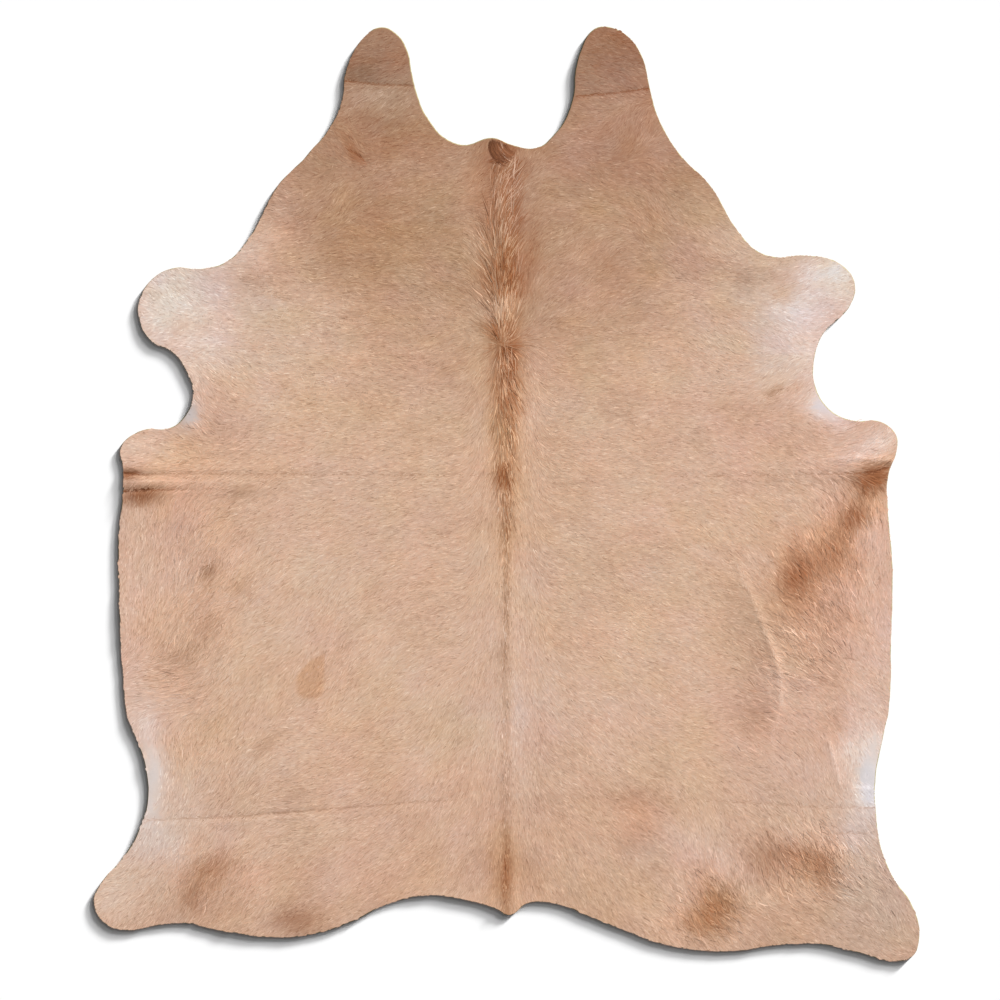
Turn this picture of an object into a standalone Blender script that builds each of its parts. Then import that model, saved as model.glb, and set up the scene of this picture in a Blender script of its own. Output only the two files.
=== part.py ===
"""A whole hair-on cowhide, lying flat on its flesh side with the coat up.

The hide is one piece of leather with its hair still on it, so it is one solid: a flat
underside, a hand-trimmed edge, and a top that follows the lie of the coat and the creases
that folding has left. It is cut from its outline, gridded, raised to the coat's height and
closed underneath.
"""

import bmesh
import bpy
import math
from mathutils import Vector, noise
from mathutils.geometry import intersect_point_line

# Sizes in metres. The neck points to +Y, the coat faces +Z and the middle of the box is at 0, 0.
LEATHER_THICKNESS = 0.0025
COAT_DEPTH = 0.0030
RIM_HEIGHT = 0.0030
RIM_WIDTH = 0.014
LEAST_HEIGHT = 0.0026
UNEVENNESS = 0.0006
UNEVEN_PATCH = 0.11
OUTLINE_STEPS = 4

# The surface is gridded in cells, with closer lines across the creases and the mane.
CELL = 0.042
CLOSE_CELL = 0.013
CLOSE_ROWS = (
    # from, to, along the hide
    (-0.790, -0.680),
    (-0.010, 0.080),
    (0.920, 0.985),
)
CLOSE_COLUMNS = (
    # from, to, across the hide
    (-0.035, 0.030),
)
GRID_REACH = 1.15

# The trimmed edge, clockwise from the tip of the left neck flap. Each point is across, along.
EDGE = (
    ("left neck flap", (
        (-0.295, 1.097), (-0.255, 1.077), (-0.232, 1.038), (-0.222, 0.985), (-0.207, 0.930),
        (-0.180, 0.875), (-0.142, 0.835), (-0.098, 0.820))),
    ("nape", (
        (-0.037, 0.837), (0.015, 0.820), (0.070, 0.813), (0.110, 0.842), (0.142, 0.888))),
    ("right neck flap", (
        (0.157, 0.938), (0.161, 0.992), (0.178, 1.052), (0.207, 1.093), (0.240, 1.097),
        (0.290, 1.071), (0.322, 1.020), (0.336, 0.955))),
    ("right side of the neck", (
        (0.360, 0.875), (0.410, 0.795), (0.478, 0.725), (0.547, 0.613), (0.587, 0.572),
        (0.632, 0.557))),
    ("right foreleg", (
        (0.690, 0.560), (0.750, 0.555), (0.797, 0.530), (0.820, 0.487), (0.802, 0.435),
        (0.745, 0.378), (0.723, 0.320), (0.725, 0.255), (0.757, 0.200), (0.812, 0.173),
        (0.878, 0.170), (0.915, 0.140), (0.916, 0.098), (0.897, 0.045))),
    ("right flank", (
        (0.896, -0.037), (0.907, -0.177), (0.903, -0.367), (0.900, -0.490), (0.883, -0.580),
        (0.866, -0.677), (0.868, -0.745))),
    ("right hind leg", (
        (0.882, -0.838), (0.908, -0.900), (0.952, -0.965), (0.970, -1.042), (0.952, -1.088),
        (0.915, -1.098), (0.825, -1.077), (0.742, -1.058), (0.657, -1.058))),
    ("right of the rump", (
        (0.512, -1.075), (0.378, -1.060), (0.283, -1.028), (0.195, -0.993), (0.117, -0.963),
        (0.055, -0.960))),
    ("root of the tail", (
        (0.003, -0.990), (-0.022, -0.976))),
    ("left of the rump", (
        (-0.118, -0.950), (-0.180, -0.943), (-0.270, -0.960), (-0.365, -1.005), (-0.470, -1.037),
        (-0.560, -1.041))),
    ("left hind leg", (
        (-0.680, -1.025), (-0.755, -1.009), (-0.830, -1.015), (-0.902, -1.025), (-0.945, -1.008),
        (-0.970, -0.960), (-0.950, -0.910), (-0.900, -0.853), (-0.862, -0.785), (-0.843, -0.713),
        (-0.848, -0.647), (-0.863, -0.593), (-0.890, -0.527))),
    ("left flank", (
        (-0.903, -0.413), (-0.910, -0.250), (-0.912, -0.107), (-0.900, 0.052))),
    ("left foreleg", (
        (-0.907, 0.110), (-0.862, 0.147), (-0.785, 0.158), (-0.748, 0.195), (-0.737, 0.238),
        (-0.750, 0.283), (-0.785, 0.333), (-0.833, 0.357), (-0.862, 0.405), (-0.863, 0.455),
        (-0.835, 0.503), (-0.782, 0.531), (-0.720, 0.529))),
    ("left side of the neck", (
        (-0.660, 0.545), (-0.603, 0.605), (-0.540, 0.720), (-0.470, 0.795), (-0.410, 0.870),
        (-0.385, 0.930), (-0.380, 0.985), (-0.362, 1.032), (-0.333, 1.075))),
)

# What stands up from the even coat or lies below it: creases, the mane, fluff and bare pits.
# Half width is where it has run out. Each point of its line is across, along, rise.
RELIEF = (
    # name, half width, line
    ("middle crease", 0.026, (
        (-0.905, 0.055, 0.0040), (-0.620, 0.055, 0.0030), (-0.300, 0.052, 0.0010),
        (0.350, 0.045, 0.0010), (0.620, 0.045, 0.0030), (0.900, 0.055, 0.0055))),
    ("second crease of the left flank", 0.026, (
        (-0.903, 0.008, 0.0045), (-0.720, 0.015, 0.0030), (-0.480, 0.018, 0.0005))),
    ("lower crease, left", 0.026, (
        (-0.845, -0.765, -0.0020), (-0.650, -0.757, -0.0020), (-0.440, -0.740, -0.0015),
        (-0.120, -0.717, -0.0005))),
    ("lower crease, right", 0.026, (
        (0.125, -0.697, -0.0005), (0.360, -0.720, -0.0015), (0.735, -0.740, -0.0020),
        (0.865, -0.738, -0.0020))),
    ("ripple of the right flank", 0.026, (
        (0.565, -0.218, 0.0010), (0.607, -0.343, 0.0018), (0.643, -0.484, 0.0010))),
    ("ripple of the left flank", 0.024, (
        (-0.384, -0.266, 0.0008), (-0.427, -0.385, 0.0012))),
    ("crease by the right hind pit", 0.020, (
        (0.755, -0.583, 0.0020), (0.785, -0.690, 0.0010))),
    ("crease of the left neck flap", 0.024, (
        (-0.382, 0.970, -0.0020), (-0.217, 0.960, -0.0020))),
    ("crease of the right neck flap", 0.024, (
        (0.158, 0.933, -0.0015), (0.335, 0.952, -0.0020))),
    ("mane", 0.030, (
        (-0.015, 0.825, 0.0030), (-0.010, 0.520, 0.0035), (-0.005, 0.350, 0.0045),
        (-0.007, 0.040, 0.0030), (0.000, -0.150, 0.0012), (0.002, -0.760, 0.0012),
        (0.000, -0.960, 0.0020))),
    ("left belly fluff", 0.075, (
        (-0.735, -0.050, 0.0020), (-0.700, -0.240, 0.0035), (-0.690, -0.470, 0.0020))),
    ("right belly fluff", 0.075, (
        (0.820, -0.010, 0.0020), (0.700, -0.190, 0.0035), (0.650, -0.370, 0.0015))),
    ("left hock swirl", 0.060, (
        (-0.740, -0.860, 0.0015), (-0.665, -0.910, 0.0015))),
    ("right hock swirl", 0.065, (
        (0.620, -0.830, 0.0015), (0.720, -0.835, 0.0025), (0.770, -0.905, 0.0015))),
    ("right buttock swirl", 0.060, (
        (0.430, -1.000, 0.0015), (0.510, -0.935, 0.0015))),
    ("left fore pit", 0.070, (
        (-0.800, 0.455, -0.0015), (-0.765, 0.360, -0.0015), (-0.740, 0.240, -0.0010))),
    ("right fore pit", 0.070, (
        (0.770, 0.495, -0.0015), (0.735, 0.390, -0.0020), (0.755, 0.230, -0.0015))),
    ("left hind pit", 0.055, (
        (-0.850, -0.560, -0.0015), (-0.825, -0.670, -0.0020), (-0.835, -0.770, -0.0015))),
    ("right hind pit", 0.060, (
        (0.855, -0.560, -0.0015), (0.840, -0.670, -0.0020), (0.850, -0.760, -0.0015))),
)

HIDE_COLOUR = (0.67, 0.445, 0.287, 1.0)
HIDE_ROUGHNESS = 0.85


def clear_scene():
    for item in list(bpy.data.objects):
        bpy.data.objects.remove(item, do_unlink=True)


def make_material():
    material = bpy.data.materials.new("champagne_coat")
    material.use_nodes = True
    surface = material.node_tree.nodes["Principled BSDF"]
    surface.inputs["Base Color"].default_value = HIDE_COLOUR
    surface.inputs["Roughness"].default_value = HIDE_ROUGHNESS
    surface.inputs["Metallic"].default_value = 0.0
    return material


def cut_outline(collection):
    """The trimmed edge as a filled flat curve, read back as one face in a bmesh."""
    curve = bpy.data.curves.new("edge", "CURVE")
    curve.dimensions = "2D"
    curve.fill_mode = "BOTH"
    curve.resolution_u = OUTLINE_STEPS
    curve.render_resolution_u = 0
    places = [place for _name, stretch in EDGE for place in stretch]
    spline = curve.splines.new("BEZIER")
    spline.bezier_points.add(len(places) - 1)
    spline.use_cyclic_u = True
    for knot, place in zip(spline.bezier_points, places):
        knot.co = (*place, 0.0)
        knot.handle_left_type = "AUTO"
        knot.handle_right_type = "AUTO"
    outline = bpy.data.objects.new("edge", curve)
    collection.objects.link(outline)
    bpy.context.view_layer.update()
    evaluated = outline.evaluated_get(bpy.context.evaluated_depsgraph_get())
    filled = bpy.data.meshes.new_from_object(evaluated)
    bpy.data.objects.remove(outline)
    sheet = bmesh.new()
    sheet.from_mesh(filled)
    bpy.data.meshes.remove(filled)
    bmesh.ops.remove_doubles(sheet, verts=sheet.verts, dist=0.0001)
    bmesh.ops.dissolve_faces(sheet, faces=sheet.faces)
    for face in sheet.faces:
        if face.normal.z < 0.0:
            face.normal_flip()
    return sheet


def grid_lines(close_stretches):
    """Even grid lines over the hide, with closer ones inside each close stretch."""
    steps = int(GRID_REACH / CELL)
    lines = [step * CELL for step in range(-steps, steps + 1)]
    for low, high in close_stretches:
        lines = [line for line in lines if not low - CLOSE_CELL < line < high + CLOSE_CELL]
        count = round((high - low) / CLOSE_CELL)
        lines += [low + (high - low) * step / count for step in range(count + 1)]
    return sorted(lines)


def grid_sheet(sheet):
    """Leave a narrow rim all round and cut what is inside it into cells."""
    inner = [face for face in sheet.faces]
    bmesh.ops.inset_region(sheet, faces=inner, thickness=RIM_WIDTH, use_even_offset=True)
    inner = max(sheet.faces, key=lambda face: face.calc_area())
    pieces = [inner]
    for normal, stretches in ((Vector((0, 1, 0)), CLOSE_ROWS), (Vector((1, 0, 0)), CLOSE_COLUMNS)):
        for line in grid_lines(stretches):
            edges = {edge for face in pieces for edge in face.edges}
            corners = {corner for face in pieces for corner in face.verts}
            cut = bmesh.ops.bisect_plane(sheet, geom=[*corners, *edges, *pieces],
                                         plane_co=normal * line, plane_no=normal, dist=0.002)
            pieces = [item for item in cut["geom"] if isinstance(item, bmesh.types.BMFace)]


def rise_along(line, half_width, place):
    """How much one line of the relief lifts or lowers the coat at a place."""
    best = 0.0
    for start, end in zip(line, line[1:]):
        first, last = Vector(start[:2]), Vector(end[:2])
        _nearest, share = intersect_point_line(place, first, last)
        share = min(1.0, max(0.0, share))
        distance = (place - first.lerp(last, share)).length
        if distance < half_width:
            rise = start[2] + (end[2] - start[2]) * share
            lift = rise * 0.5 * (1.0 + math.cos(math.pi * distance / half_width))
            best = max(best, lift, key=abs)
    return best


def coat_height(place):
    """Height of the coat over the floor, inside the rim."""
    wave = noise.noise(Vector((place.x / UNEVEN_PATCH, place.y / UNEVEN_PATCH, 0.0)))
    height = LEATHER_THICKNESS + COAT_DEPTH + UNEVENNESS * wave
    height += sum(rise_along(line, half_width, place) for _name, half_width, line in RELIEF)
    return max(height, LEAST_HEIGHT)


def raise_coat(sheet):
    for corner in sheet.verts:
        if corner.is_boundary:
            corner.co.z = RIM_HEIGHT
        else:
            corner.co.z = coat_height(corner.co.xy)
    bmesh.ops.triangulate(sheet, faces=sheet.faces, quad_method="SHORT_EDGE", ngon_method="BEAUTY")


def close_underneath(sheet):
    """Draw the edge down to the floor and close it with one flat flesh side."""
    grown = bmesh.ops.extrude_face_region(sheet, geom=sheet.faces[:])["geom"]
    under = [item for item in grown if isinstance(item, bmesh.types.BMVert)]
    for corner in under:
        corner.co.z = 0.0
    under = set(under)
    flesh_side = [face for face in sheet.faces if under.issuperset(face.verts)]
    bmesh.ops.dissolve_faces(sheet, faces=flesh_side, use_verts=False)
    bmesh.ops.recalc_face_normals(sheet, faces=sheet.faces)


def build_hide(collection, material):
    sheet = cut_outline(collection)
    grid_sheet(sheet)
    raise_coat(sheet)
    close_underneath(sheet)
    mesh = bpy.data.meshes.new("hide")
    sheet.to_mesh(mesh)
    sheet.free()
    mesh.materials.append(material)
    mesh.shade_smooth()
    mesh.set_sharp_from_angle(angle=math.radians(50.0))
    hide = bpy.data.objects.new("hide", mesh)
    collection.objects.link(hide)
    return hide


def main():
    clear_scene()
    collection = bpy.data.collections.new("cowhide")
    bpy.context.scene.collection.children.link(collection)
    build_hide(collection, make_material())


main()
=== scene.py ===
# %% [markdown]
# A whole cowhide, tanned with its hair on and combed flat, the colour of champagne. It lies on
# its flesh side, neck end up, and shows three things: a leather skin a little over 2 mm thick
# with a hand-trimmed edge, a short coat that flows out from the backbone, and a few places where
# the hair is long, dark, or almost bare.
#
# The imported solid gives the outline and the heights. This file grows the looks round it: first
# the skin as a thin closed sheet, then the coat as hundreds of thousands of small pointed blades
# of hair, each laid the way the real coat is combed.

import bmesh
import bpy
import math
import numpy as np
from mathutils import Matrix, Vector, kdtree
from mathutils.bvhtree import BVHTree
from mathutils.geometry import delaunay_2d_cdt


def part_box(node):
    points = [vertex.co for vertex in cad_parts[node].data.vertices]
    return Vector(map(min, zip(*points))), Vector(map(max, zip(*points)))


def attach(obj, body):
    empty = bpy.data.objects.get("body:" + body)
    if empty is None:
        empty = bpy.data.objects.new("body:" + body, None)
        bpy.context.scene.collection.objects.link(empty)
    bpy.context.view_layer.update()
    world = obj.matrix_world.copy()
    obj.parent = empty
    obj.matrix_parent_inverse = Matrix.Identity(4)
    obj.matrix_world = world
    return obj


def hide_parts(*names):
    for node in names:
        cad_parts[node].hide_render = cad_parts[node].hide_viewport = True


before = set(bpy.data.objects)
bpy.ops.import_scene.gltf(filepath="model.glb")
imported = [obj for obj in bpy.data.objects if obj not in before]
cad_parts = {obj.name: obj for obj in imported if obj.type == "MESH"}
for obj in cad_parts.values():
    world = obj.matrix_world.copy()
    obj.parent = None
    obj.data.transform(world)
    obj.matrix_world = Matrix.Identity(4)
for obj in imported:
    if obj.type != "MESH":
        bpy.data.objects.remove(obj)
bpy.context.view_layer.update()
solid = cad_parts["hide"]
low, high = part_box("hide")
print("hide", round(high.x - low.x, 3), "by", round(high.y - low.y, 3), "m")

# %% [markdown]
# The edge of a hide is cut freehand, so nothing about it is straight. It could be drawn again
# here, but the solid already has it: the rim of its flat underside. Walking round that rim once
# gives the outline, and both the skin and the coat then use the same one.

# %% Read the trimmed edge
WELD = 1e-5


def rim_of_underside(node):
    """The outline of the flat flesh side, in order round the hide, as rows of x, y."""
    shell = bmesh.new()
    shell.from_mesh(node.data)
    bmesh.ops.remove_doubles(shell, verts=shell.verts, dist=WELD)
    flesh = {face for face in shell.faces if all(v.co.z < WELD for v in face.verts)}
    beside = {}
    for edge in shell.edges:
        if sum(face in flesh for face in edge.link_faces) == 1:
            a, b = edge.verts
            beside.setdefault(a, []).append(b)
            beside.setdefault(b, []).append(a)
    start = min(beside, key=lambda v: (v.co.y, v.co.x))
    ring, last, here = [start], None, start
    while True:
        ahead = [v for v in beside[here] if v is not last]
        last, here = here, ahead[0]
        if here is start:
            break
        ring.append(here)
    points = np.array([(v.co.x, v.co.y) for v in ring])
    shell.free()
    turned = np.roll(points, -1, axis=0)
    area = np.sum(points[:, 0] * turned[:, 1] - turned[:, 0] * points[:, 1]) / 2
    return points if area > 0 else points[::-1]


rim = rim_of_underside(solid)
print("points on the rim", len(rim))

# %% [markdown]
# The solid's outline is made for its job, with a point every 2 cm. A knife follows a smooth
# path, so a smooth curve goes through those points, and then the small faults of a real cut are
# put back: a slow waver of the hand and a few nicks where the blade caught.

# %% Smooth the edge and give it a knife's faults
EDGE_STEP = 0.006
KNIFE_WAVER = 0.0009
WAVER_POINTS = 5
NICKS = (
    # across, along, reach, depth
    (-0.840, 0.395, 0.010, 0.0040),
    (-0.862, 0.352, 0.009, 0.0035),
    (-0.822, 0.372, 0.006, 0.0030),
    (-0.806, 0.358, 0.006, 0.0030),
    (-0.790, 0.347, 0.006, 0.0020),
    (-0.729, 0.290, 0.006, 0.0030),
    (-0.880, -0.540, 0.012, 0.0040),
    (-0.735, -1.010, 0.012, 0.0030),
    (-0.640, -1.028, 0.010, 0.0030),
)


def smooth_loop(points, step):
    """Points a step apart on a smooth closed curve that passes through all of these."""
    before, after = np.roll(points, 1, axis=0), np.roll(points, -1, axis=0)
    beyond = np.roll(points, -2, axis=0)
    found = []
    for a, b, c, d in zip(before, points, after, beyond):
        count = max(int(round(np.linalg.norm(c - b) / step)), 1)
        t = (np.arange(count) / count)[:, None]
        found.append(0.5 * (2 * b + (c - a) * t + (2 * a - 5 * b + 4 * c - d) * t**2
                            + (3 * b - a - 3 * c + d) * t**3))
    return np.concatenate(found)


def outward(points):
    """The unit direction out of a counterclockwise loop at each of its points."""
    way = np.roll(points, -1, axis=0) - np.roll(points, 1, axis=0)
    way /= np.linalg.norm(way, axis=1)[:, None]
    return np.stack([way[:, 1], -way[:, 0]], 1)


edge_draw = np.random.default_rng(3)
trimmed = smooth_loop(rim, EDGE_STEP)
hand = np.tile(edge_draw.normal(0, 1, len(trimmed)), 3)
waver = np.convolve(hand, np.ones(WAVER_POINTS) / WAVER_POINTS, "same")
waver = waver[len(trimmed):2 * len(trimmed)]
shift = KNIFE_WAVER * waver
for nick_x, nick_y, reach, depth in NICKS:
    away = np.hypot(trimmed[:, 0] - nick_x, trimmed[:, 1] - nick_y)
    shift -= depth * np.clip(1 - away / reach, 0, 1)
trimmed = trimmed + outward(trimmed) * shift[:, None]
print("points on the trimmed edge", len(trimmed))

# %% [markdown]
# Many things vary slowly over a hide: its height, the way the hair lies, its colour, its length.
# Each is kept as a map, an array with a value every 5 mm, so that all the blades of hair can look
# theirs up at once instead of working it out one by one.

# %% Lay a grid of maps over the hide
MAP_STEP = 0.005
MAP_MARGIN = 0.04
INSIDE_LAST_CELL = 1.001
column_x = np.arange(low.x - MAP_MARGIN, high.x + MAP_MARGIN, MAP_STEP)
row_y = np.arange(low.y - MAP_MARGIN, high.y + MAP_MARGIN, MAP_STEP)
X, Y = np.meshgrid(column_x, row_y)


def look_up(chart, x, y):
    """The value of a map at each x, y, blended between its four nearest cells."""
    u = np.clip((x - column_x[0]) / MAP_STEP, 0, len(column_x) - INSIDE_LAST_CELL)
    v = np.clip((y - row_y[0]) / MAP_STEP, 0, len(row_y) - INSIDE_LAST_CELL)
    i, j = u.astype(int), v.astype(int)
    fu, fv = u - i, v - j
    near = chart[j, i] * (1 - fu) + chart[j, i + 1] * fu
    far = chart[j + 1, i] * (1 - fu) + chart[j + 1, i + 1] * fu
    return near * (1 - fv) + far * fv


def ease(share):
    """0 to 1 with a soft start and a soft end."""
    share = np.clip(share, 0, 1)
    return share * share * (3 - 2 * share)


def blur(chart, times):
    """A map with each cell shared with its neighbours, so many times over."""
    for _ in range(times):
        padded = np.pad(chart, 1, mode="edge")
        chart = (padded[:-2, 1:-1] + padded[2:, 1:-1] + padded[1:-1, :-2] + padded[1:-1, 2:]
                 + 4 * padded[1:-1, 1:-1]) / 8
    return chart


def blotches(size, seed):
    """Soft random unevenness from -1 to 1, in blotches about this wide."""
    draw = np.random.default_rng(seed)
    u, v = (column_x - column_x[0]) / size, (row_y - row_y[0]) / size
    lattice = draw.uniform(-1, 1, (int(v[-1]) + 2, int(u[-1]) + 2))
    i, j = u.astype(int), v.astype(int)[:, None]
    fu, fv = ease(u - i), ease(v[:, None] - j)
    near = lattice[j, i] * (1 - fu) + lattice[j, i + 1] * fu
    far = lattice[j + 1, i] * (1 - fu) + lattice[j + 1, i + 1] * fu
    return near * (1 - fv) + far * fv


print("map cells", X.size)

# %% [markdown]
# Two maps come straight from the solid. One says how far a place is inside the trimmed edge,
# because hair gets short and low there. The other is the height of the solid's top, felt from
# above with one ray to a cell, and blurred a little so that its flat facets don't show.

# %% Map the distance to the edge and the height of the solid
FINE_EDGE_STEP = 0.002
HEIGHT_BLUR = 4


def inside_of(loop):
    """True in each cell that lies inside a closed loop, from where each row crosses it."""
    ahead = np.roll(loop, -1, axis=0)
    within = np.zeros(X.shape, bool)
    for j, y in enumerate(row_y):
        cuts = (loop[:, 1] > y) != (ahead[:, 1] > y)
        a, b = loop[cuts], ahead[cuts]
        crossing = np.sort(a[:, 0] + (y - a[:, 1]) * (b[:, 0] - a[:, 0]) / (b[:, 1] - a[:, 1]))
        within[j] = np.searchsorted(crossing, column_x) % 2 == 1
    return within


def map_edge_distance(loop):
    """How far each cell lies inside the loop, or as a minus number outside it."""
    tree = kdtree.KDTree(len(loop))
    for number, (x, y) in enumerate(loop):
        tree.insert((x, y, 0.0), number)
    tree.balance()
    away = np.array([tree.find((x, y, 0.0))[2] for x, y in zip(X.ravel(), Y.ravel())])
    away = away.reshape(X.shape)
    return np.where(inside_of(loop), away, -away)


def map_solid_height():
    """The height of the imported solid's top in each cell, with the rim's height outside it."""
    felt = BVHTree.FromObject(solid, bpy.context.evaluated_depsgraph_get())
    heights = np.full(X.shape, np.nan)
    for j, i in zip(*np.nonzero(edge_away > -MAP_STEP)):
        hit = felt.ray_cast(Vector((column_x[i], row_y[j], 1.0)), Vector((0, 0, -1)))[0]
        if hit is not None:
            heights[j, i] = hit.z
    return np.where(np.isnan(heights), np.nanmin(heights), heights)


edge_away = map_edge_distance(smooth_loop(trimmed, FINE_EDGE_STEP))
solid_top = blur(map_solid_height(), HEIGHT_BLUR)
print("height of the solid from", round(solid_top.min(), 4), "to", round(solid_top.max(), 4), "m")

# %% [markdown]
# Folding for transport leaves creases in the leather. The solid has the broad ones. Laid over
# them here are the sharp lines that show in the coat, each a soft trough or ridge along a short
# row of points, stronger at the rim of the hide than in its thick middle. They could be sculpted,
# but a row of points is easy to check and to move. Hair lies over a fold and evens it out, so the
# skin takes only a part of each rise, and the light will be told only a part of each slope.

# %% Place the creases
CREASES = (
    # name, half width, points of across, along, rise
    ("left neck flap", 0.007, ((-0.385, 0.971, -0.0014), (-0.300, 0.962, -0.0016),
                               (-0.216, 0.959, -0.0012))),
    ("right neck flap", 0.007, ((0.158, 0.934, -0.0012), (0.240, 0.940, -0.0014),
                                (0.336, 0.953, -0.0016))),
    ("upper flank, left", 0.008, ((-0.905, 0.050, -0.0024), (-0.850, 0.046, -0.0020),
                                  (-0.780, 0.048, -0.0008), (-0.600, 0.047, -0.0005),
                                  (-0.060, 0.044, -0.0002))),
    ("under flank, left", 0.008, ((-0.900, 0.006, -0.0030), (-0.850, 0.010, -0.0028),
                                  (-0.790, 0.010, -0.0018), (-0.740, 0.011, -0.0007),
                                  (-0.660, 0.013, -0.0002))),
    ("lit band, left", 0.009, ((-0.900, 0.028, 0.0010), (-0.790, 0.029, 0.0008),
                               (-0.500, 0.030, 0.0002))),
    ("upper flank, right", 0.009, ((0.905, 0.080, 0.0016), (0.820, 0.084, 0.0014),
                                   (0.740, 0.080, 0.0006), (0.560, 0.068, 0.0002))),
    ("fold, right", 0.010, ((0.905, 0.062, -0.0012), (0.845, 0.050, -0.0013),
                            (0.700, 0.046, -0.0006), (0.350, 0.040, -0.0002))),
    ("lower, left", 0.007, ((-0.845, -0.767, -0.0008), (-0.650, -0.758, -0.0011),
                            (-0.440, -0.742, -0.0010), (-0.120, -0.718, -0.0004))),
    ("lower lit band, left", 0.008, ((-0.780, -0.779, 0.0002), (-0.650, -0.773, 0.0006),
                                     (-0.440, -0.757, 0.0005))),
    ("lower, right", 0.007, ((0.360, -0.714, -0.0002), (0.486, -0.720, -0.0003),
                             (0.700, -0.734, -0.0005), (0.868, -0.738, -0.0009))),
    ("left cheek parting", 0.005, ((-0.366, 0.806, -0.0003), (-0.350, 0.796, -0.0008),
                                   (-0.326, 0.778, -0.0012))),
    ("pit line, right", 0.006, ((0.800, -0.692, 0.0010), (0.862, -0.694, 0.0012))),
    ("second lower, right", 0.006, ((0.760, -0.797, -0.0006), (0.838, -0.797, -0.0010))),
    ("right flank ripple", 0.015, ((0.541, -0.160, 0.0006), (0.607, -0.320, 0.0015),
                                   (0.640, -0.415, 0.0016), (0.645, -0.505, 0.0012),
                                   (0.617, -0.580, 0.0006))),
    ("left flank ripple", 0.008, ((-0.384, -0.266, 0.0005), (-0.427, -0.385, 0.0010),
                                  (-0.450, -0.450, 0.0003))),
    ("right hind pit", 0.007, ((0.757, -0.583, 0.0011), (0.785, -0.690, 0.0009))),
)


def map_line(points, half_width):
    """The third value of a row of points, spread softly over a strip this half wide."""
    chart = np.zeros(X.shape)
    nearest = np.full(X.shape, half_width)
    for (xa, ya, va), (xb, yb, vb) in zip(points, points[1:]):
        i = np.searchsorted(column_x, (min(xa, xb) - half_width, max(xa, xb) + half_width))
        j = np.searchsorted(row_y, (min(ya, yb) - half_width, max(ya, yb) + half_width))
        part = slice(*j), slice(*i)
        run = np.array([xb - xa, yb - ya])
        t = ((X[part] - xa) * run[0] + (Y[part] - ya) * run[1]) / (run @ run)
        t = np.clip(t, 0, 1)
        away = np.hypot(X[part] - xa - t * run[0], Y[part] - ya - t * run[1])
        closer = away < nearest[part]
        value = (va + t * (vb - va)) * ease(1 - away / half_width)
        chart[part] = np.where(closer, value, chart[part])
        nearest[part] = np.minimum(nearest[part], away)
    return chart


COAT_ON_SOLID = 0.0030
THINNEST_SKIN = 0.0022
RIDGE_KEPT = 0.75
CREASE_KEPT = 0.6
SKIN_BUMPS, BUMP_SIZE = 0.0005, 0.05
SKIN_SLOPE, CREASE_SLOPE = 0.20, 0.4
crease_rise = sum(map_line(points, half_width) for _, half_width, points in CREASES)
skin_top = np.maximum(solid_top - COAT_ON_SOLID, THINNEST_SKIN)
skin_top = THINNEST_SKIN + RIDGE_KEPT * (skin_top - THINNEST_SKIN) + crease_rise * CREASE_KEPT
skin_top = np.maximum(skin_top + SKIN_BUMPS * blotches(BUMP_SIZE, 11), THINNEST_SKIN)
slope_along, slope_across = np.gradient(SKIN_SLOPE * skin_top + CREASE_SLOPE * crease_rise,
                                        MAP_STEP)
print("creases", len(CREASES), "- skin up to", round(float(skin_top[edge_away > 0].max()), 4), "m")

# %% [markdown]
# Colours are named the way a hide dealer would name them, in the bytes that a screen shows, and
# turned into the linear numbers that shaders use. The whole coat is one ramp from the bare pink
# of the armpits through champagne to the dark umber on the backbone, so that one number from 0
# to 1, the tint, says what colour a hair is.

# %% Name the colours of the coat
COAT_RAMP = (
    # tint, name, red, green, blue
    (0.00, "bare pit", 236, 226, 222),
    (0.10, "pink pit", 238, 220, 208),
    (0.20, "pale flank", 230, 204, 188),
    (0.40, "champagne", 221, 186, 162),
    (0.60, "tan", 187, 147, 120),
    (0.80, "russet", 161, 105, 69),
    (1.00, "umber", 104, 60, 36),
)


def screen(red, green, blue):
    """A colour as a screen shows it, in bytes, as a shader's linear colour."""
    shares = (channel / 255 for channel in (red, green, blue))
    return tuple(s / 12.92 if s <= 0.04045 else ((s + 0.055) / 1.055) ** 2.4
                 for s in shares) + (1.0,)


print("coat colours", ", ".join(row[1] for row in COAT_RAMP))
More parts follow.
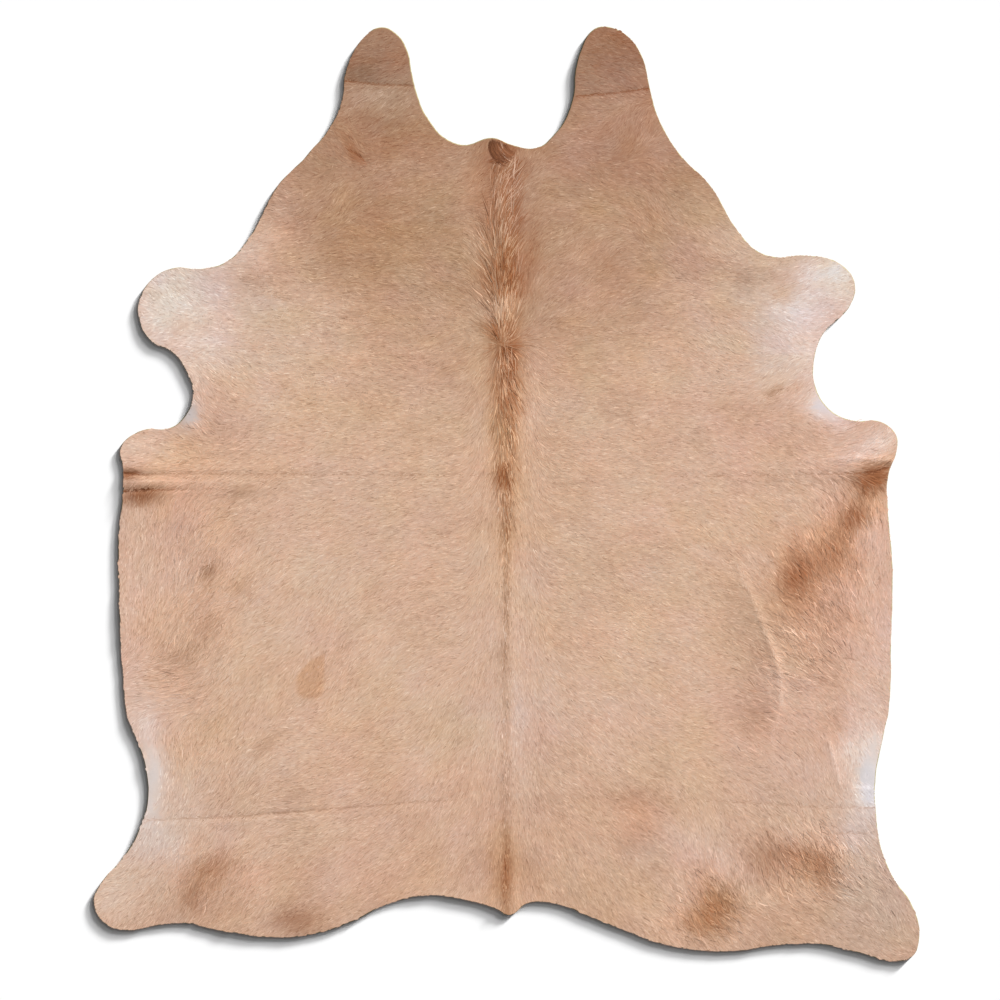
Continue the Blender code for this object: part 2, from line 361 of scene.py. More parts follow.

# %% [markdown]
# Most of the coat's colour is a slow drift: tan on the neck, champagne on the body, a little
# browner again on the rump. On top of the drift sit the marks that make this hide the one it
# is. Each is an oval with a soft edge, listed with its middle, its half sizes, how far it is
# turned, and how much darker or paler it makes the coat. Painting an image would do it too, but
# a list of named marks shows what is on the hide and lets each one be moved.

# %% List the marks of the coat
DRIFT = (
    # along, tint
    (-1.10, 0.47), (-0.95, 0.44), (-0.80, 0.42), (-0.62, 0.40), (-0.45, 0.39), (0.00, 0.40),
    (0.18, 0.42), (0.30, 0.465), (0.42, 0.53), (0.52, 0.58), (0.65, 0.61), (0.80, 0.62),
    (0.90, 0.62), (1.10, 0.65),
)
MARKS = (
    # name, across, along, half across, half along, turned, tint
    ("left foreleg", -0.800, 0.450, 0.160, 0.170, 0, -0.26),
    ("left foreleg, pad", -0.790, 0.450, 0.090, 0.100, 0, -0.10),
    ("left foreleg, low", -0.700, 0.330, 0.110, 0.080, 0, -0.10),
    ("left foreleg, smudge", -0.600, 0.495, 0.060, 0.032, 10, 0.12),
    ("left foreleg, fleck", -0.765, 0.400, 0.022, 0.026, 0, 0.10),
    ("right foreleg", 0.755, 0.455, 0.135, 0.160, 0, -0.26),
    ("right foreleg, pad", 0.745, 0.520, 0.085, 0.060, 0, -0.19),
    ("right foreleg, side", 0.790, 0.455, 0.028, 0.055, 0, -0.10),
    ("right foreleg, middle", 0.690, 0.502, 0.036, 0.030, 0, -0.08),
    ("right foreleg, inner", 0.635, 0.436, 0.060, 0.044, 0, -0.20),
    ("right foreleg, low", 0.680, 0.310, 0.110, 0.100, 0, -0.17),
    ("left shoulder", -0.600, 0.440, 0.260, 0.220, 0, -0.16),
    ("right shoulder", 0.530, 0.440, 0.240, 0.240, 0, -0.12),
    ("left neck side", -0.600, 0.590, 0.090, 0.060, 45, -0.16),
    ("right neck side", 0.530, 0.600, 0.080, 0.060, -45, -0.10),
    ("left elbow", -0.750, 0.182, 0.034, 0.036, 20, -0.42),
    ("right elbow", 0.748, 0.205, 0.050, 0.034, -35, -0.44),
    ("right elbow, pink", 0.704, 0.198, 0.026, 0.022, 0, -0.18),
    ("left girth edge", -0.850, 0.105, 0.080, 0.030, 0, -0.16),
    ("right girth edge", 0.850, 0.115, 0.080, 0.034, 0, -0.16),
    ("right lobe", 0.880, 0.132, 0.044, 0.030, 0, -0.16),
    ("left girth", -0.640, 0.150, 0.100, 0.040, 0, 0.07),
    ("right girth", 0.600, 0.150, 0.120, 0.060, 0, 0.05),
    # the next five are the dark fold ends: browner hair, partly with painted shade in the folds
    ("left fold end", -0.858, 0.006, 0.056, 0.013, 4, 0.70),
    ("left fold end, upper", -0.884, 0.050, 0.034, 0.013, 0, 0.45),
    ("right fold end", 0.866, 0.056, 0.044, 0.026, 14, 0.33),
    ("right fold end, low", 0.860, 0.032, 0.040, 0.020, 14, 0.29),
    ("right fold, inner", 0.826, 0.030, 0.036, 0.016, -25, 0.24),
    ("right fluff, upper", 0.808, -0.036, 0.036, 0.024, 20, 0.32),
    ("right fluff line", 0.824, -0.033, 0.026, 0.006, 8, 0.24),
    ("right fluff, middle", 0.772, -0.088, 0.026, 0.046, -42, 0.10),
    ("right blotch", 0.674, -0.176, 0.040, 0.052, -10, 0.27),
    ("right blotch, heart", 0.686, -0.166, 0.022, 0.026, -20, 0.05),
    ("right blotch, broad", 0.742, -0.136, 0.060, 0.050, 42, 0.14),
    ("right blotch, low", 0.700, -0.235, 0.070, 0.036, -20, 0.08),
    ("right belly", 0.640, -0.290, 0.140, 0.160, 0, 0.06),
    ("left belly band", -0.705, -0.230, 0.070, 0.200, 0, 0.05),
    ("right belly, outer", 0.760, -0.300, 0.060, 0.200, 0, 0.05),
    ("behind the left shoulder", -0.400, 0.520, 0.120, 0.100, 0, 0.05),
    ("right neck", 0.240, 0.700, 0.180, 0.140, 0, -0.02),
    ("beside the mane", 0.000, 0.660, 0.240, 0.160, 0, -0.06),
    ("left belly spot", -0.692, -0.168, 0.014, 0.012, 0, 0.34),
    ("round the left belly spot", -0.690, -0.160, 0.040, 0.045, 0, 0.07),
    ("left belly spot, small", -0.622, -0.208, 0.020, 0.018, 0, 0.19),
    ("left belly spot, low", -0.687, -0.292, 0.022, 0.022, 0, 0.12),
    ("left flank streak, high", -0.620, 0.009, 0.026, 0.015, 0, 0.16),
    ("left flank streak, middle", -0.640, -0.040, 0.022, 0.010, 30, 0.10),
    ("left flank streak, low", -0.626, -0.094, 0.036, 0.013, 5, 0.09),
    ("left belly edge", -0.880, -0.280, 0.060, 0.280, 0, -0.06),
    ("left belly, low", -0.765, -0.380, 0.050, 0.040, 20, 0.09),
    ("left stifle", -0.550, -0.578, 0.036, 0.018, 52, 0.14),
    ("right belly crease, shade", 0.566, -0.480, 0.040, 0.130, 8, 0.09),
    ("right hind pit, inner", 0.815, -0.700, 0.036, 0.040, 0, -0.15),
    ("over the right hind pit", 0.760, -0.535, 0.034, 0.050, 0, 0.08),
    ("backbone, low tuft", -0.012, -0.355, 0.011, 0.030, 0, 0.12),
    ("right belly edge", 0.880, -0.260, 0.050, 0.220, 0, -0.08),
    ("left hind pit", -0.835, -0.640, 0.060, 0.150, 0, -0.28),
    ("left hind pit, bare", -0.826, -0.660, 0.030, 0.120, 0, -0.05),
    ("left hind pit, high", -0.838, -0.530, 0.020, 0.050, 0, -0.08),
    ("left hind pit, rim", -0.842, -0.710, 0.022, 0.090, 0, -0.08),
    ("left hind pit, side", -0.788, -0.550, 0.018, 0.055, 0, 0.09),
    ("left shank, rim", -0.864, -0.818, 0.024, 0.028, 0, -0.08),
    ("left shank, middle", -0.755, -0.830, 0.032, 0.030, 0, -0.10),
    ("right hind pit", 0.840, -0.630, 0.065, 0.150, 0, -0.32),
    ("right hind pit, bare", 0.860, -0.680, 0.030, 0.055, 0, -0.20),
    ("left hock", -0.688, -0.880, 0.058, 0.044, -10, 0.18),
    ("left shank", -0.760, -0.800, 0.120, 0.080, -20, -0.11),
    ("left side", -0.580, -0.180, 0.140, 0.260, 0, -0.03),
    ("left flap, low", -0.305, 0.938, 0.080, 0.034, 0, -0.13),
    ("right flap, low", 0.250, 0.900, 0.070, 0.050, 0, -0.04),
    ("left hock, low", -0.724, -0.936, 0.034, 0.034, -20, 0.15),
    ("left buttock", -0.480, -0.995, 0.070, 0.036, -10, 0.20),
    ("left hind foot", -0.920, -0.950, 0.060, 0.070, 0, -0.08),
    ("right foreleg, rim", 0.765, 0.545, 0.070, 0.040, 0, -0.19),
    ("right foreleg hair", 0.635, 0.508, 0.040, 0.015, 10, 0.12),
    ("right foreleg hair, low", 0.642, 0.464, 0.011, 0.016, -30, 0.16),
    ("round the right fluff", 0.760, -0.120, 0.090, 0.070, 42, 0.05),
    # a painted highlight on the ridge above the right fold
    ("above the right fold", 0.840, 0.090, 0.060, 0.018, 5, -0.08),
    ("right hock arc", 0.648, -0.842, 0.095, 0.040, -4, 0.21),
    ("right hock", 0.735, -0.880, 0.040, 0.050, 20, 0.18),
    ("right buttock", 0.458, -0.982, 0.054, 0.050, 30, 0.22),
    ("right buttock, upper", 0.490, -0.930, 0.054, 0.050, 45, 0.17),
    ("right rump band", 0.196, -0.707, 0.110, 0.022, 0, 0.07),
    ("right thigh", 0.448, -0.836, 0.070, 0.060, -40, -0.11),
    ("right thigh, low", 0.370, -0.970, 0.070, 0.060, 0, -0.06),
    ("right rump patch", 0.296, -0.708, 0.060, 0.032, 0, 0.08),
    ("right rump patch, low", 0.310, -0.780, 0.060, 0.028, 40, 0.08),
    ("left hind corner", -0.900, -0.880, 0.090, 0.070, 0, -0.08),
    ("right shank", 0.790, -0.790, 0.060, 0.080, 0, -0.06),
    ("left throat", -0.510, 0.700, 0.050, 0.070, -35, -0.06),
    ("right throat", 0.478, 0.690, 0.050, 0.070, 35, -0.06),
    ("left cheek swirl", -0.362, 0.818, 0.012, 0.036, 32, 0.10),
    ("left cheek swirl, low", -0.345, 0.785, 0.008, 0.020, 45, 0.12),
    ("right neck hair, high", 0.545, 0.510, 0.010, 0.024, 0, 0.20),
    ("right neck hair, low", 0.632, 0.468, 0.016, 0.024, 0, 0.16),
    ("right elbow fleck", 0.620, 0.237, 0.012, 0.010, 0, 0.55),
    ("right elbow fleck, long", 0.672, 0.247, 0.022, 0.011, 0, 0.22),
    ("left neck flap", -0.310, 1.020, 0.100, 0.060, 0, 0.07),
    ("right neck flap", 0.245, 1.030, 0.100, 0.080, 0, 0.09),
    ("left cheek", -0.345, 0.850, 0.110, 0.080, 0, 0.05),
    ("right cheek", 0.245, 0.850, 0.060, 0.060, 0, 0.04),
    ("tail root", -0.003, -0.900, 0.018, 0.080, 0, 0.05),
    ("round the tail", 0.000, -0.855, 0.080, 0.070, 0, 0.08),
    ("right of the backbone", 0.027, -0.520, 0.019, 0.180, 0, -0.07),
    ("left parting of the mane", -0.046, 0.660, 0.013, 0.130, 0, 0.13),
    ("right parting of the mane", 0.054, 0.555, 0.016, 0.075, 0, 0.12),
    ("pale lock under the band", -0.004, 0.424, 0.034, 0.030, 0, -0.13),
    ("whorl, left arm", -0.036, 0.380, 0.024, 0.016, -35, 0.20),
    ("whorl, right arm", 0.004, 0.334, 0.024, 0.013, -30, 0.24),
    ("spine tuft", -0.006, 0.058, 0.016, 0.015, 0, 0.46),
    ("small spine tuft", 0.000, -0.061, 0.010, 0.012, 0, 0.20),
)
print("marks", len(MARKS))

# %% [markdown]
# One number isn't quite enough for a real coat. Hairs of the same tint differ in hue: the belly
# is rosier, the backbone and the brown marks are more golden, and the neck flaps and the feet
# are greyer. Two more maps say so, rose and gold, each with its own list of ovals. A third makes
# a few places darker: some are simply duller, such as the neck flaps, and some carry painted
# shade, just above the crease of a neck flap and under the ends of the flank folds.

# %% List the dull and shaded, the golden and the pink places
DULLS_AND_SHADES = (
    # name, across, along, half across, half along, turned, how much brighter
    ("left neck flap", -0.300, 1.035, 0.100, 0.075, 0, -0.05),
    # painted shade just above the crease of the left neck flap
    ("above its crease", -0.342, 0.990, 0.055, 0.022, -4, -0.24),
    ("right neck flap", 0.245, 1.035, 0.100, 0.080, 0, -0.04),
    ("left flank patches", -0.625, 0.007, 0.030, 0.012, 0, -0.08),
    ("left belly spot", -0.692, -0.168, 0.014, 0.012, 0, -0.14),
    ("left elbow", -0.752, 0.180, 0.036, 0.032, 20, -0.22),
    ("right blotch", 0.684, -0.168, 0.024, 0.028, 10, -0.02),
    # these two: painted shade under the ends of the flank folds
    ("right fold end", 0.876, 0.056, 0.034, 0.018, 12, -0.02),
    ("left fold end", -0.858, 0.009, 0.048, 0.009, 4, -0.16),
    ("left hock", -0.680, -0.870, 0.045, 0.030, -10, -0.02),
    ("right hock", 0.750, -0.870, 0.034, 0.040, 20, -0.04),
    ("above the tail", 0.000, -0.775, 0.100, 0.080, 0, -0.045),
)
GOLDS = (
    # name, across, along, half across, half along, turned, how much more golden
    ("backbone", 0.000, 0.200, 0.036, 0.360, 0, 0.70),
    ("middle of the neck", -0.050, 0.500, 0.280, 0.300, 0, 0.14),
    ("left cheek", -0.340, 0.640, 0.120, 0.100, 0, 0.25),
    ("left neck flap", -0.300, 1.000, 0.100, 0.120, 0, -0.50),
    ("right neck flap", 0.240, 1.000, 0.100, 0.120, 0, -0.35),
    ("left foreleg", -0.720, 0.500, 0.150, 0.080, 0, -0.25),
    ("right foreleg", 0.660, 0.490, 0.130, 0.100, 0, -0.34),
    ("left elbow", -0.752, 0.180, 0.032, 0.028, 20, -0.40),
    ("left girth", -0.780, 0.060, 0.140, 0.080, 0, 0.40),
    ("right fluff", 0.775, -0.070, 0.170, 0.060, 48, 0.60),
    ("right blotch", 0.690, -0.170, 0.070, 0.080, 0, 0.70),
    ("right belly", 0.730, -0.300, 0.100, 0.120, 0, 0.08),
    ("left hind pit", -0.830, -0.650, 0.050, 0.140, 0, -0.06),
    ("above the left foot", -0.780, -0.800, 0.120, 0.100, 0, -0.45),
    ("left shoulder blade", -0.550, 0.410, 0.080, 0.070, 0, -0.30),
    ("right shoulder blade", 0.580, 0.340, 0.090, 0.090, 0, -0.25),
    ("end of the barrel", 0.000, -0.480, 0.140, 0.150, 0, -0.30),
    ("left hock", -0.690, -0.880, 0.070, 0.060, 0, 0.40),
    ("tail", -0.003, -0.870, 0.036, 0.110, 0, 0.80),
    ("right rump", 0.420, -0.780, 0.240, 0.120, 0, -0.12),
    ("left hind foot", -0.860, -0.900, 0.140, 0.100, 0, -0.16),
    ("right hind foot", 0.860, -0.860, 0.120, 0.220, 0, -0.70),
    ("right hock", 0.720, -0.860, 0.100, 0.060, 0, 0.45),
    ("right buttock", 0.460, -0.965, 0.060, 0.060, 30, 0.60),
    ("right thigh", 0.420, -0.880, 0.090, 0.080, 0, -0.10),
    ("right rump patch", 0.305, -0.745, 0.060, 0.055, 0, 0.50),
)
PINKS = (
    # name, across, along, half across, half along, turned, how much pinker
    ("left belly", -0.800, -0.250, 0.120, 0.300, 0, 0.20),
    ("right belly", 0.800, -0.260, 0.110, 0.300, 0, 0.35),
    ("left belly edge", -0.890, -0.260, 0.040, 0.260, 0, 0.25),
    ("right belly edge", 0.890, -0.260, 0.035, 0.260, 0, 0.30),
    ("right flank", 0.600, -0.560, 0.140, 0.140, 0, 0.30),
    ("left flank fold", -0.780, 0.030, 0.140, 0.050, 0, 0.10),
    ("left withers", -0.160, 0.360, 0.150, 0.120, 0, -0.22),
    ("right withers", 0.240, 0.350, 0.150, 0.120, 0, -0.22),
    ("right blotch", 0.700, -0.165, 0.070, 0.070, 0, 0.75),
    ("left girth", -0.770, 0.080, 0.070, 0.050, 0, -0.40),
    ("right girth", 0.640, 0.150, 0.180, 0.080, 0, 0.30),
    ("left cheek", -0.400, 0.760, 0.130, 0.080, 0, 0.20),
    ("right cheek", 0.330, 0.830, 0.100, 0.120, 0, 0.20),
    ("right shoulder", 0.420, 0.560, 0.120, 0.090, 0, 0.25),
    ("left hind leg", -0.740, -0.640, 0.110, 0.110, 0, 0.15),
    ("left hind pit", -0.830, -0.650, 0.040, 0.140, 0, 0.20),
    ("right hock arc", 0.650, -0.845, 0.110, 0.050, 0, 0.65),
    ("left hock", -0.690, -0.880, 0.070, 0.060, 0, 0.35),
    ("beside the backbone", 0.000, -0.600, 0.130, 0.200, 0, 0.25),
    ("above the left foot", -0.800, -0.800, 0.090, 0.060, 0, -0.20),
    ("hind feet, left", -0.900, -0.930, 0.120, 0.100, 0, -0.20),
    ("hind feet, right", 0.880, -0.960, 0.100, 0.120, 0, -0.30),
    ("left shoulder", -0.420, 0.380, 0.180, 0.110, 0, -0.25),
    ("right shoulder blade", 0.430, 0.360, 0.200, 0.120, 0, -0.15),
    ("left ribs", -0.400, 0.100, 0.160, 0.100, 0, 0.20),
    ("left side", -0.300, -0.200, 0.180, 0.140, 0, -0.20),
    ("right rump patch", 0.305, -0.745, 0.070, 0.065, 0, 0.80),
    ("right thigh", 0.440, -0.860, 0.090, 0.080, 0, 0.30),
    ("left foreleg", -0.760, 0.380, 0.120, 0.120, 0, 0.15),
    ("right foreleg", 0.760, 0.400, 0.120, 0.140, 0, 0.25),
    ("right of the mane", 0.090, 0.660, 0.060, 0.140, 0, -0.40),
    ("left loin", -0.300, -0.400, 0.260, 0.200, 0, -0.15),
    ("left barrel", -0.350, 0.160, 0.260, 0.160, 0, -0.12),
    ("neck beside the mane", -0.140, 0.640, 0.110, 0.180, 0, -0.65),
)
print("dull", len(DULLS_AND_SHADES), "golden", len(GOLDS), "pink", len(PINKS))

# %% [markdown]
# The brown streak of the backbone runs down the middle, so it is a row of places along the hide
# with a width and a tint at each. On the left side a drip has dried to a faint golden stain with
# a firm rim. No soft oval gives such a rim, so the stain is an outline of a few points.

# %% List the streak of the backbone and the rim of the drip
SPINE_MARK = (
    # along, half width, tint
    (-0.98, 0.011, 0.17), (-0.87, 0.010, 0.17), (-0.80, 0.010, 0.20), (-0.74, 0.012, 0.08),
    (-0.50, 0.012, 0.07),
    (-0.36, 0.008, 0.12), (-0.30, 0.007, 0.14),
    (-0.16, 0.010, 0.14), (-0.06, 0.015, 0.17), (0.10, 0.023, 0.19), (0.22, 0.027, 0.26),
    (0.30, 0.026, 0.26), (0.36, 0.028, 0.18), (0.43, 0.034, 0.10), (0.482, 0.032, 0.29),
    (0.54, 0.032, 0.16), (0.72, 0.032, 0.14), (0.80, 0.030, 0.16),
)
DRIP_RIM = (
    # across, along, clockwise from the tip of the drip
    (-0.424, -0.371), (-0.427, -0.465), (-0.441, -0.482), (-0.478, -0.482), (-0.497, -0.465),
    (-0.495, -0.428), (-0.466, -0.390),
)
DRIP_TINT, DRIP_ROSE, DRIP_GOLD = 0.10, 0.12, 0.40
print("places on the backbone", len(SPINE_MARK), "points round the drip", len(DRIP_RIM))

# %% [markdown]
# Now the lists become maps. A mark in hair has no clean outline, so the ovals are pushed about a
# little, which leaves their edges ragged. Between the marks no coat is one even colour either:
# blotches of several sizes go over all of it, and those of hue are stronger on the neck than
# behind it. A trough is darker, as painted shade where parted hair shows its shaded roots, and a
# ridge paler, as a painted highlight where the hair stands up and catches the light.

# %% Draw the maps of tint, rose, gold and dusk
RAGGED, LEAST_RAGGED_HALF = 0.020, 0.05
OVAL_FADE = 1.1
DRIP_SOFT = 0.006
# how strongly a crease paints shade in its trough and a highlight on its ridge, and the rise that
# shines most
CREASE_SHADE_AND_SHINE, HIGHEST_SHINING_RISE = 45.0, 0.0012
MOTTLE_ALONG, MOTTLE = (0.15, 0.50), (0.68, 1.10)
PLAIN_ROSE, PLAIN_GOLD = 0.47, 0.50
# blotches: strength, size, seed
RAGGED_ACROSS = ((1.0, 0.07, 26), (0.6, 0.025, 27))
RAGGED_ALONG = ((1.0, 0.07, 28), (0.6, 0.025, 29))
TINT_BLOTCHES = ((0.030, 0.09, 21), (0.022, 0.035, 22), (0.014, 0.016, 23))
ROSE_BLOTCHES = ((0.26, 0.30, 41), (0.26, 0.12, 42), (0.22, 0.050, 24), (0.18, 0.022, 25))
GOLD_BLOTCHES = ((0.14, 0.12, 44), (0.14, 0.050, 45), (0.12, 0.022, 46))


def mixed_blotches(rows):
    """Blotches of several strengths and sizes, added up."""
    return sum(strength * blotches(size, seed) for strength, size, seed in rows)


def map_oval(across, along, half_across, half_along, turned):
    """1 in the middle of an oval, fading to 0 a little past its half sizes, on a ragged edge."""
    angle = math.radians(turned)
    loose = min(1.0, min(half_across, half_along) / LEAST_RAGGED_HALF) ** 2
    dx, dy = X - across + ragged_x * loose, Y - along + ragged_y * loose
    u = (dx * math.cos(angle) + dy * math.sin(angle)) / half_across
    v = (dy * math.cos(angle) - dx * math.sin(angle)) / half_along
    return np.exp(-OVAL_FADE * (u * u + v * v))


def map_patch(rim, soft):
    """1 inside an outline of points given clockwise, fading to 0 over a soft rim."""
    depth = np.full(X.shape, 1.0)
    for (ax, ay), (bx, by) in zip(rim, rim[1:] + rim[:1]):
        across, along = bx - ax, by - ay
        inward = ((X - ax) * along - (Y - ay) * across) / math.hypot(across, along)
        depth = np.minimum(depth, inward / soft)
    return ease(np.clip(depth, 0, 1))


def with_ovals(chart, rows):
    """A map with the oval of each row laid over it, as strongly as the row's last number says."""
    for _, *oval, change in rows:
        chart = chart + change * map_oval(*oval)
    return chart


ragged_x = RAGGED * mixed_blotches(RAGGED_ACROSS)
ragged_y = RAGGED * mixed_blotches(RAGGED_ALONG)
drip = map_patch(DRIP_RIM, DRIP_SOFT)
drift_along, drift_tint = zip(*DRIFT)
tint_map = with_ovals(np.interp(Y, drift_along, drift_tint), MARKS)
spine_along, spine_half, spine_tint = (np.array(column) for column in zip(*SPINE_MARK))
spine_width = np.interp(Y, spine_along, spine_half)
tint_map += np.interp(Y, spine_along, spine_tint) * np.exp(-(X / spine_width) ** 2)
tint_map += mixed_blotches(TINT_BLOTCHES)
# painted shade in the troughs and a painted highlight on the ridges
tint_map -= CREASE_SHADE_AND_SHINE * np.minimum(crease_rise, HIGHEST_SHINING_RISE)
mottle = np.interp(Y, MOTTLE_ALONG, MOTTLE)
rose_map = with_ovals(PLAIN_ROSE + mottle * mixed_blotches(ROSE_BLOTCHES), PINKS)
gold_map = with_ovals(PLAIN_GOLD + mottle * mixed_blotches(GOLD_BLOTCHES), GOLDS)
# duller places, and painted shade at a flap crease and the flank fold ends
dull_and_shade_map = with_ovals(np.ones(X.shape), DULLS_AND_SHADES)
print("rose from", round(float(rose_map.min()), 2), "to", round(float(rose_map.max()), 2))

# %% [markdown]
# Hair on a cow starts at whorls and flows outward and back. On a hide laid flat it runs from
# the backbone to both flanks, turns down along the belly, swirls in the flanks and the hocks,
# and stands against itself on the nape. The flow could be simulated, but a groom does it with a
# comb: a stroke here and there, and the hair between follows. The table holds those strokes,
# each a place and a heading in degrees, with 0 to the right and 90 to the neck.

# %% Comb the coat
STROKES = (
    # zone, strokes of across, along, heading
    ("left neck flap", ((-0.30, 1.05, 195), (-0.33, 0.89, 215), (-0.25, 0.90, 220),
                        (-0.20, 0.85, 190))),
    ("left cheek", ((-0.37, 0.82, 125), (-0.45, 0.81, 150), (-0.39, 0.70, 235),
                    (-0.41, 0.64, 215), (-0.46, 0.61, 200), (-0.52, 0.71, 160))),
    ("left of the neck", ((-0.25, 0.75, 190), (-0.18, 0.69, 195), (-0.25, 0.62, 180),
                          (-0.34, 0.60, 170), (-0.48, 0.56, 180), (-0.15, 0.48, 165),
                          (-0.30, 0.52, 175), (-0.37, 0.45, 180), (-0.60, 0.48, 180))),
    ("left foreleg", ((-0.81, 0.49, 150), (-0.75, 0.47, 147), (-0.81, 0.37, 196),
                      (-0.74, 0.38, 190), (-0.65, 0.24, 150), (-0.71, 0.22, 120))),
    ("left barrel", ((-0.13, 0.34, 195), (-0.25, 0.31, 175), (-0.60, 0.15, 200),
                     (-0.84, 0.12, 180), (-0.25, 0.10, 182), (-0.48, 0.10, 183),
                     (-0.25, -0.06, 184), (-0.60, -0.01, 205), (-0.45, -0.10, 195))),
    ("left belly", ((-0.87, -0.08, 268), (-0.87, -0.25, 272), (-0.80, -0.15, 258),
                    (-0.79, -0.30, 250), (-0.72, -0.11, 240), (-0.68, -0.25, 225),
                    (-0.60, -0.19, 222), (-0.80, -0.45, 180))),
    ("left loin", ((-0.44, -0.26, 237), (-0.55, -0.34, 205), (-0.45, -0.43, 235),
                   (-0.32, -0.25, 215), (-0.25, -0.15, 195), (-0.13, -0.13, 186),
                   (-0.13, -0.34, 196), (-0.11, -0.53, 235), (-0.30, -0.58, 205),
                   (-0.48, -0.58, 192), (-0.58, -0.48, 235), (-0.67, -0.65, 240),
                   (-0.765, -0.64, 264), (-0.775, -0.72, 256), (-0.70, -0.72, 228))),
    ("left hind leg", ((-0.82, -0.62, 276), (-0.84, -0.79, 245), (-0.75, -0.81, 250),
                       (-0.69, -0.86, 235), (-0.93, -0.92, 195), (-0.88, -0.98, 225),
                       (-0.76, -0.95, 235), (-0.60, -0.95, 220))),
    ("left rump", ((-0.44, -0.99, 205), (-0.37, -0.86, 210), (-0.48, -0.74, 190),
                   (-0.25, -0.88, 215), (-0.13, -0.83, 235))),
    ("right neck flap", ((0.24, 1.05, 340), (0.30, 0.96, 335), (0.20, 0.96, 350))),
    ("right cheek", ((0.30, 0.86, 75), (0.30, 0.82, 60), (0.34, 0.78, 320),
                     (0.34, 0.68, 305), (0.41, 0.75, 350), (0.43, 0.60, 330),
                     (0.52, 0.60, 325))),
    ("right of the neck", ((0.09, 0.75, 5), (0.20, 0.76, 335), (0.22, 0.69, 355),
                           (0.08, 0.55, 15), (0.18, 0.57, 35), (0.19, 0.50, 38),
                           (0.15, 0.45, 25), (0.22, 0.45, 20), (0.34, 0.45, 0),
                           (0.22, 0.38, 8))),
    ("right foreleg", ((0.60, 0.56, 10), (0.67, 0.51, 30), (0.78, 0.45, 15),
                       (0.55, 0.48, 350), (0.50, 0.38, 330), (0.64, 0.38, 330),
                       (0.64, 0.27, 35), (0.71, 0.22, 65), (0.71, 0.18, 320))),
    ("right barrel", ((0.13, 0.30, 0), (0.30, 0.28, 358), (0.30, 0.05, 357),
                      (0.55, 0.10, 345), (0.83, 0.12, 15), (0.88, 0.14, 60),
                      (0.62, -0.01, 335), (0.81, -0.03, 290), (0.25, -0.10, 350))),
    ("right belly", ((0.87, -0.09, 260), (0.83, -0.20, 270), (0.79, -0.16, 295),
                     (0.79, -0.30, 305), (0.75, -0.11, 296), (0.69, -0.22, 315),
                     (0.62, -0.18, 315), (0.62, -0.30, 325), (0.55, -0.25, 340))),
    ("right loin", ((0.34, -0.25, 345), (0.22, -0.15, 350), (0.09, -0.25, 345),
                    (0.08, -0.35, 325), (0.22, -0.44, 340), (0.22, -0.53, 315),
                    (0.45, -0.53, 355), (0.64, -0.46, 340), (0.69, -0.53, 325),
                    (0.57, -0.62, 330), (0.34, -0.65, 330), (0.13, -0.62, 320))),
    ("right hind leg", ((0.75, -0.61, 285), (0.69, -0.86, 310), (0.76, -0.84, 290),
                        (0.83, -0.79, 320), (0.76, -0.95, 330), (0.81, -1.00, 325),
                        (0.90, -0.99, 290), (0.89, -1.04, 335), (0.64, -0.98, 330))),
    ("right rump", ((0.22, -0.79, 315), (0.13, -0.88, 300), (0.34, -0.79, 325),
                    (0.46, -0.79, 290), (0.53, -0.79, 315), (0.60, -0.88, 285),
                    (0.31, -1.02, 320), (0.27, -0.98, 310))),
)
SPINE_STROKES = (
    # along, heading left of the spine, on it, right of it
    (-1.00, 255, 270, 280), (-0.60, 250, 271, 280), (-0.34, 250, 272, 283),
    (-0.15, 245, 272, 290), (0.00, 245, 272, 286), (0.11, 245, 273, 286),
    (0.22, 242, 285, 288), (0.28, 235, 290, 300), (0.33, 225, 292, 310),
    (0.37, 170, 80, 20), (0.41, 138, 95, 62), (0.455, 130, 90, 73), (0.49, 125, 82, 72),
    (0.55, 118, 72, 60), (0.61, 128, 64, 48), (0.66, 175, 60, 42), (0.70, 208, 60, 44),
    (0.75, 225, 60, 48), (0.82, 240, 60, 56),
)
STROKE_REACH = 0.045
SPINE_BLEND = 0.045
SPINE_REACH = (0.055, 0.115)
WANDER = math.radians(9)
WANDER_BLOTCHES = ((1.0, 0.045, 31), (0.7, 0.020, 32))
NOT_ZERO = 1e-9


def headings(degrees):
    """Unit vectors for headings in degrees, as two arrays."""
    return np.cos(np.radians(degrees)), np.sin(np.radians(degrees))


def map_strokes():
    """The way the coat lies beside the spine: each stroke counts by how near it is."""
    way_x, way_y = np.zeros(X.shape), np.zeros(X.shape)
    for _, strokes in STROKES:
        for across, along, heading in strokes:
            away = (X - across) ** 2 + (Y - along) ** 2 + STROKE_REACH**2
            hx, hy = headings(heading)
            way_x += hx / away**2
            way_y += hy / away**2
    return way_x, way_y


def map_spine_strokes():
    """The way the coat lies on the spine, blended across it from left to right."""
    places, left, on, right = (np.array(column, float) for column in zip(*SPINE_STROKES))
    way = []
    for pick in (0, 1):
        sides = [np.interp(Y, places, headings(column)[pick]) for column in (left, on, right)]
        to_left, to_right = ease(-X / SPINE_BLEND), ease(X / SPINE_BLEND)
        way.append(sides[0] * to_left + sides[2] * to_right + sides[1] * (1 - to_left - to_right))
    return way


def as_unit(way_x, way_y):
    """The same ways, each one long."""
    size = np.maximum(np.hypot(way_x, way_y), NOT_ZERO)
    return way_x / size, way_y / size


